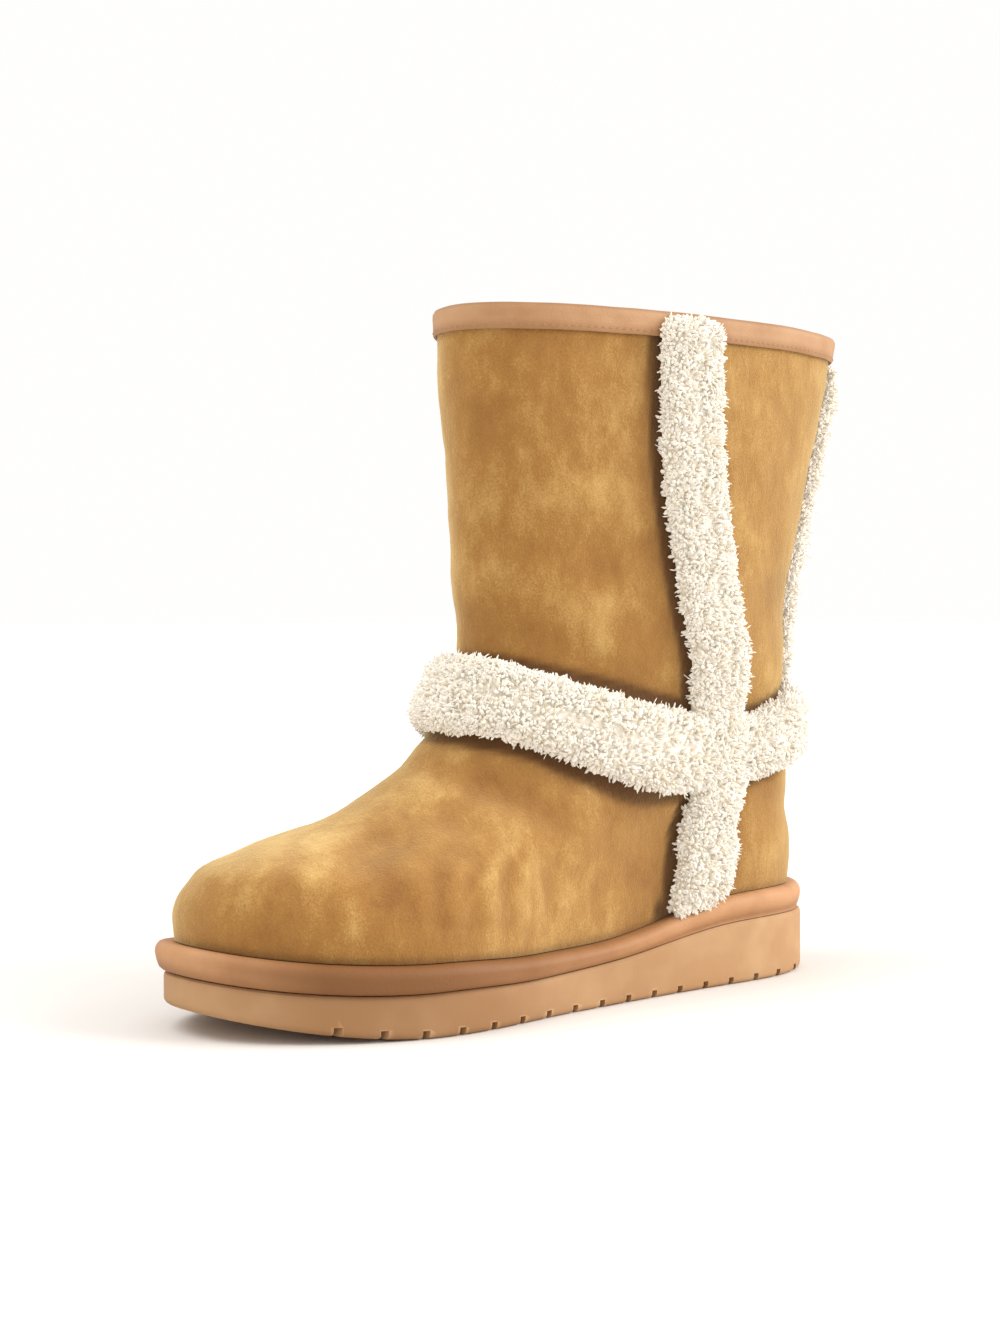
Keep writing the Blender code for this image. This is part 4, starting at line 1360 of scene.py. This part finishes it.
def build_outsole(sizes, colours):
    def at(extra, height, drawn=0.0):
        return (lambda turn: toe_overhang(turn) + extra, height, drawn)

    low, high = sole_underside, sole_top
    rings = [at(SOLE_CHAMFER * 1.8, low, drawn) for drawn in (1.0, 0.66, 0.33, 0.0)]
    for inset, rise in ((1.2, 0.10), (0.5, 0.45), (0.1, 1.0), (0.0, 1.6)):
        rings.append(at(SOLE_CHAMFER * inset, lambda s, rise=rise: low(s) + SOLE_CHAMFER * rise))
    for share in (0.25, 0.5, 0.75):
        rings.append(at(0.0, lambda s, share=share: low(s) + share * (high(s) - low(s))))
    rings += [at(0.0, lambda s: high(s) - 0.0018), at(0.0003, lambda s: high(s) - 0.0007)]
    rings += [at(0.0011, high, drawn) for drawn in (0.0, 0.5, 1.0)]
    piece = plate("outsole_foam", 288, rings, sole_edge, (("edge", lambda u, v: side_shade(u, "foam")),))
    for cutter in (arch_cutter(), tread_cutter()):
        apply_modifier(piece, "BOOLEAN", operation="DIFFERENCE", solver="EXACT", object=cutter)
        bpy.data.objects.remove(cutter)
    shade(piece, 35)
    hand_over(piece, foam_material(colours), "outsole")


def build_midsole(sizes, colours):
    thick = midsole_thickness
    rolled = (
        # inset over the roll, share of the thickness, share of the overhang, drawn in
        (0.55, 0.00, 1.00, 1.0), (0.55, 0.00, 1.00, 0.5), (0.55, 0.00, 1.00, 0.0),
        (0.62, 0.03, 0.35, 0.0), (0.66, 0.09, 0.00, 0.0), (0.46, 0.18, 0.00, 0.0),
        (0.26, 0.30, 0.00, 0.0), (0.10, 0.44, 0.00, 0.0), (0.00, 0.58, 0.00, 0.0),
        (0.06, 0.71, 0.00, 0.0), (0.30, 0.83, 0.00, 0.0), (0.70, 0.93, 0.00, 0.0),
        (1.15, 0.98, 0.00, 0.0), (1.70, 1.00, 0.00, 0.0), (2.60, 0.99, 0.00, 0.0),
        (2.60, 0.99, 0.00, 0.5), (2.60, 0.99, 0.00, 1.0),
    )
    rings = []
    for inset, share, under, drawn in rolled:
        rings.append((
            lambda turn, inset=inset, under=under: under * toe_overhang(turn) + inset * MIDSOLE_ROLL,
            lambda s, share=share: sole_top(s) + GAP + share * thick(s),
            drawn,
        ))

    # Painted shade: the wrap's lower half is darker, and its side darker along the forefoot.
    def midsole_shade(u, v):
        low = 1 - ease((v * len(rings) - 4.5) / 4.0)
        return 1 - (1 - 0.50 * low) * (1 - side_shade(u, "wrap") ** (1 + 2 * low))

    piece = plate("midsole_wrap", 288, rings, sole_edge, (("edge", midsole_shade),))
    shade(piece, 50)
    light, deep = linear("#C6966B"), linear("#A6754C")
    material = leather_material("wrapped_leather", colours.wrap, light, deep, 0.9091)
    hand_over(piece, material, "midsole")


# Stage


def build_stage(sizes, colours):
    select()
    bpy.ops.mesh.primitive_plane_add(size=60.0, location=(0, 0, 0))
    floor = bpy.context.object
    floor.name = "floor"
    material, shader = new_material("pale_floor", Roughness=0.85, Specular_IOR_Level=0.2)
    # A seamless paper floor: matt, and all but even, in clouds of 333 mm.
    place = add_node(material, "TexCoord", "Object")
    cloud = add_node(material, "TexNoise", "Fac", {"Vector": place, "Scale": from_mm(333.33)})
    stops = ((0.3, linear("#E0DDD9")), (0.7, linear("#E2DFDB")))
    link(material, shader, Base_Color=add_node(material, "ValToRGB", "Color", {"Fac": cloud}, stops))
    floor.data.materials.append(material)

    # Two broad soft lights: a high key from the toe's side, and a stronger one from behind.
    for name, toward, power, width, tint in (
        ("key_softbox", (-0.22, -0.56, 1.05), 1.30, 40.0, (1.0, 0.985, 0.96)),
        ("back_softbox", (0.55, 0.66, 0.45), 2.9, 45.0, (1.0, 0.99, 0.98)),
    ):
        light = bpy.data.lights.new(name, "SUN")
        light.energy, light.angle, light.color = power, math.radians(width), tint
        lamp = bpy.data.objects.new(name, light)
        lamp.rotation_euler = Vector(toward).to_track_quat("Z", "Y").to_euler()
        bpy.context.scene.collection.objects.link(lamp)

    world = bpy.data.worlds.new("studio")
    bpy.context.scene.world = world
    world.use_nodes = True
    background = world.node_tree.nodes["Background"]
    background.inputs["Color"].default_value = (1.0, 0.995, 0.985, 1.0)
    background.inputs["Strength"].default_value = 1.0
    bpy.context.scene.view_settings.view_transform = "Standard"

    # The camera stands where the photo was taken from, turned a little to centre the boot.
    camera = bpy.data.cameras.new("camera")
    camera.sensor_width, camera.lens = 36.0, CAMERA_LENS
    viewer = bpy.data.objects.new("camera", camera)
    azimuth, pitch = math.radians(sizes.view_azimuth), math.radians(CAMERA_PITCH)
    level = math.cos(pitch)
    look = Vector((-math.sin(azimuth) * level, math.cos(azimuth) * level, -math.sin(pitch)))
    viewer.location = Vector(CAMERA_PLACE) + Vector(SHIFT)
    viewer.rotation_euler = look.to_track_quat("-Z", "Y").to_euler()
    bpy.context.scene.collection.objects.link(viewer)
    bpy.context.scene.camera = viewer


# The add-on


def length(name, about, default):
    return FloatProperty(name=name, description=about, default=default, unit="LENGTH")


def share(name, about, default, low, high):
    return FloatProperty(
        name=name, description=about, default=default, min=low, max=high, subtype="FACTOR"
    )


def colour(name, about, code):
    return FloatVectorProperty(name=name, description=about, default=linear(code), subtype="COLOR")


class BootSizes(bpy.types.PropertyGroup):
    lock_length: length("Lock length", "Length of a lock of wool on the trim", 0.0034)
    draw_in: share("Dome width", "Share of a strip's width that its dome takes up", 0.90, 0.3, 1.0)
    lock_width: length("Lock width", "Width of a lock of wool", 0.0017)
    lock_spacing: length("Lock spacing", "Distance between locks on the trim", 0.00128)
    pile_length: length("Pile length", "Length of the lining's wool", 0.0056)
    pile_spacing: length("Pile spacing", "Distance between the lining's locks", 0.0026)
    crease_share: share("Creases", "Share of the creases' full height", 1.0, 0.0, 2.0)
    stitch_pitch: length("Stitch pitch", "Distance between stitches on the binding", 0.0030)
    view_azimuth: FloatProperty(
        name="View azimuth", description="Direction in which the camera looks, in degrees", default=52.97
    )


class BootColours(bpy.types.PropertyGroup):
    suede_dark: colour("Suede, dark", "Nap brushed away from the eye", "#825427")
    suede_mid: colour("Suede", "The suede's main colour", "#9A6D36")
    suede_light: colour("Suede, light", "Nap brushed towards the eye", "#C7A262")
    # The colour of the painted shade beside the wool and along the join with the midsole.
    suede_seam_shade: colour("Suede at seams", "Colour in the groove beside the wool", "#4E2E17")
    wool_tip: colour("Wool tips", "Colour of the clipped tips", "#E9E5DE")
    # Painted shade: the darker colour down among the locks.
    wool_root_shade: colour("Wool roots", "Colour down among the locks", "#E0D6C3")
    foam: colour("Outsole", "Colour of the foam outsole", "#AF875F")
    wrap: colour("Midsole wrap", "Colour of the midsole's leather", "#BA885D")
    binding: colour("Binding", "Colour of the collar's binding", "#AF845D")


def built(context, *builders):
    """Calls builders with the scene's sizes and colours."""
    for build in builders:
        build(context.scene.boot_sizes, context.scene.boot_colours)
    return {"FINISHED"}


class BOOT_OT_stage(bpy.types.Operator):
    """Adds the floor, the lights and the camera"""

    bl_idname = "boot.stage"
    bl_label = "Stage"

    def execute(self, context):
        return built(context, build_stage)


class BOOT_OT_outsole(bpy.types.Operator):
    """Builds the foam outsole with its tread"""

    bl_idname = "boot.outsole"
    bl_label = "Outsole"

    def execute(self, context):
        return built(context, build_outsole)


class BOOT_OT_midsole(bpy.types.Operator):
    """Builds the leather-wrapped midsole"""

    bl_idname = "boot.midsole"
    bl_label = "Midsole"

    def execute(self, context):
        return built(context, build_midsole)


class BOOT_OT_upper(bpy.types.Operator):
    """Builds the suede upper with its creases"""

    bl_idname = "boot.upper"
    bl_label = "Upper"

    def execute(self, context):
        return built(context, build_upper)


class BOOT_OT_lining(bpy.types.Operator):
    """Builds the upper's wool lining"""

    bl_idname = "boot.lining"
    bl_label = "Lining"

    def execute(self, context):
        return built(context, build_lining)


class BOOT_OT_insole(bpy.types.Operator):
    """Builds the fleece footbed"""

    bl_idname = "boot.insole"
    bl_label = "Insole"

    def execute(self, context):
        return built(context, build_insole)


class BOOT_OT_binding(bpy.types.Operator):
    """Builds the collar's binding and its stitches"""

    bl_idname = "boot.binding"
    bl_label = "Binding"

    def execute(self, context):
        return built(context, build_binding, build_stitches)


class BOOT_OT_trim(bpy.types.Operator):
    """Builds the wool trim: both side strips, the ankle band's halves and the back strip"""

    bl_idname = "boot.trim"
    bl_label = "Wool trim"

    def execute(self, context):
        return built(context, build_trim)


class BOOT_PT_panel(bpy.types.Panel):
    """Lists the boot's pieces, sizes and colours"""

    bl_idname = "BOOT_PT_panel"
    bl_label = "Sheepskin boot"
    bl_space_type = "VIEW_3D"
    bl_region_type = "UI"
    bl_category = "Boot"

    def draw(self, context):
        for step in STEPS:
            self.layout.operator(step.bl_idname)
        for group in (context.scene.boot_sizes, context.scene.boot_colours):
            box = self.layout.box()
            for name in group.__annotations__:
                box.prop(group, name)


STEPS = (
    BOOT_OT_stage,
    BOOT_OT_outsole,
    BOOT_OT_midsole,
    BOOT_OT_upper,
    BOOT_OT_lining,
    BOOT_OT_insole,
    BOOT_OT_binding,
    BOOT_OT_trim,
)
CLASSES = (BootSizes, BootColours, *STEPS, BOOT_PT_panel)


def register():
    for kind in CLASSES:
        bpy.utils.register_class(kind)
    bpy.types.Scene.boot_sizes = PointerProperty(type=BootSizes)
    bpy.types.Scene.boot_colours = PointerProperty(type=BootColours)


def unregister():
    del bpy.types.Scene.boot_colours
    del bpy.types.Scene.boot_sizes
    for kind in reversed(CLASSES):
        bpy.utils.unregister_class(kind)


def main():
    register()
    bpy.ops.boot.stage()
    bpy.ops.boot.outsole()
    bpy.ops.boot.midsole()
    bpy.ops.boot.upper()
    bpy.ops.boot.lining()
    bpy.ops.boot.insole()
    bpy.ops.boot.binding()
    bpy.ops.boot.trim()


if __name__ == "__main__":
    main()
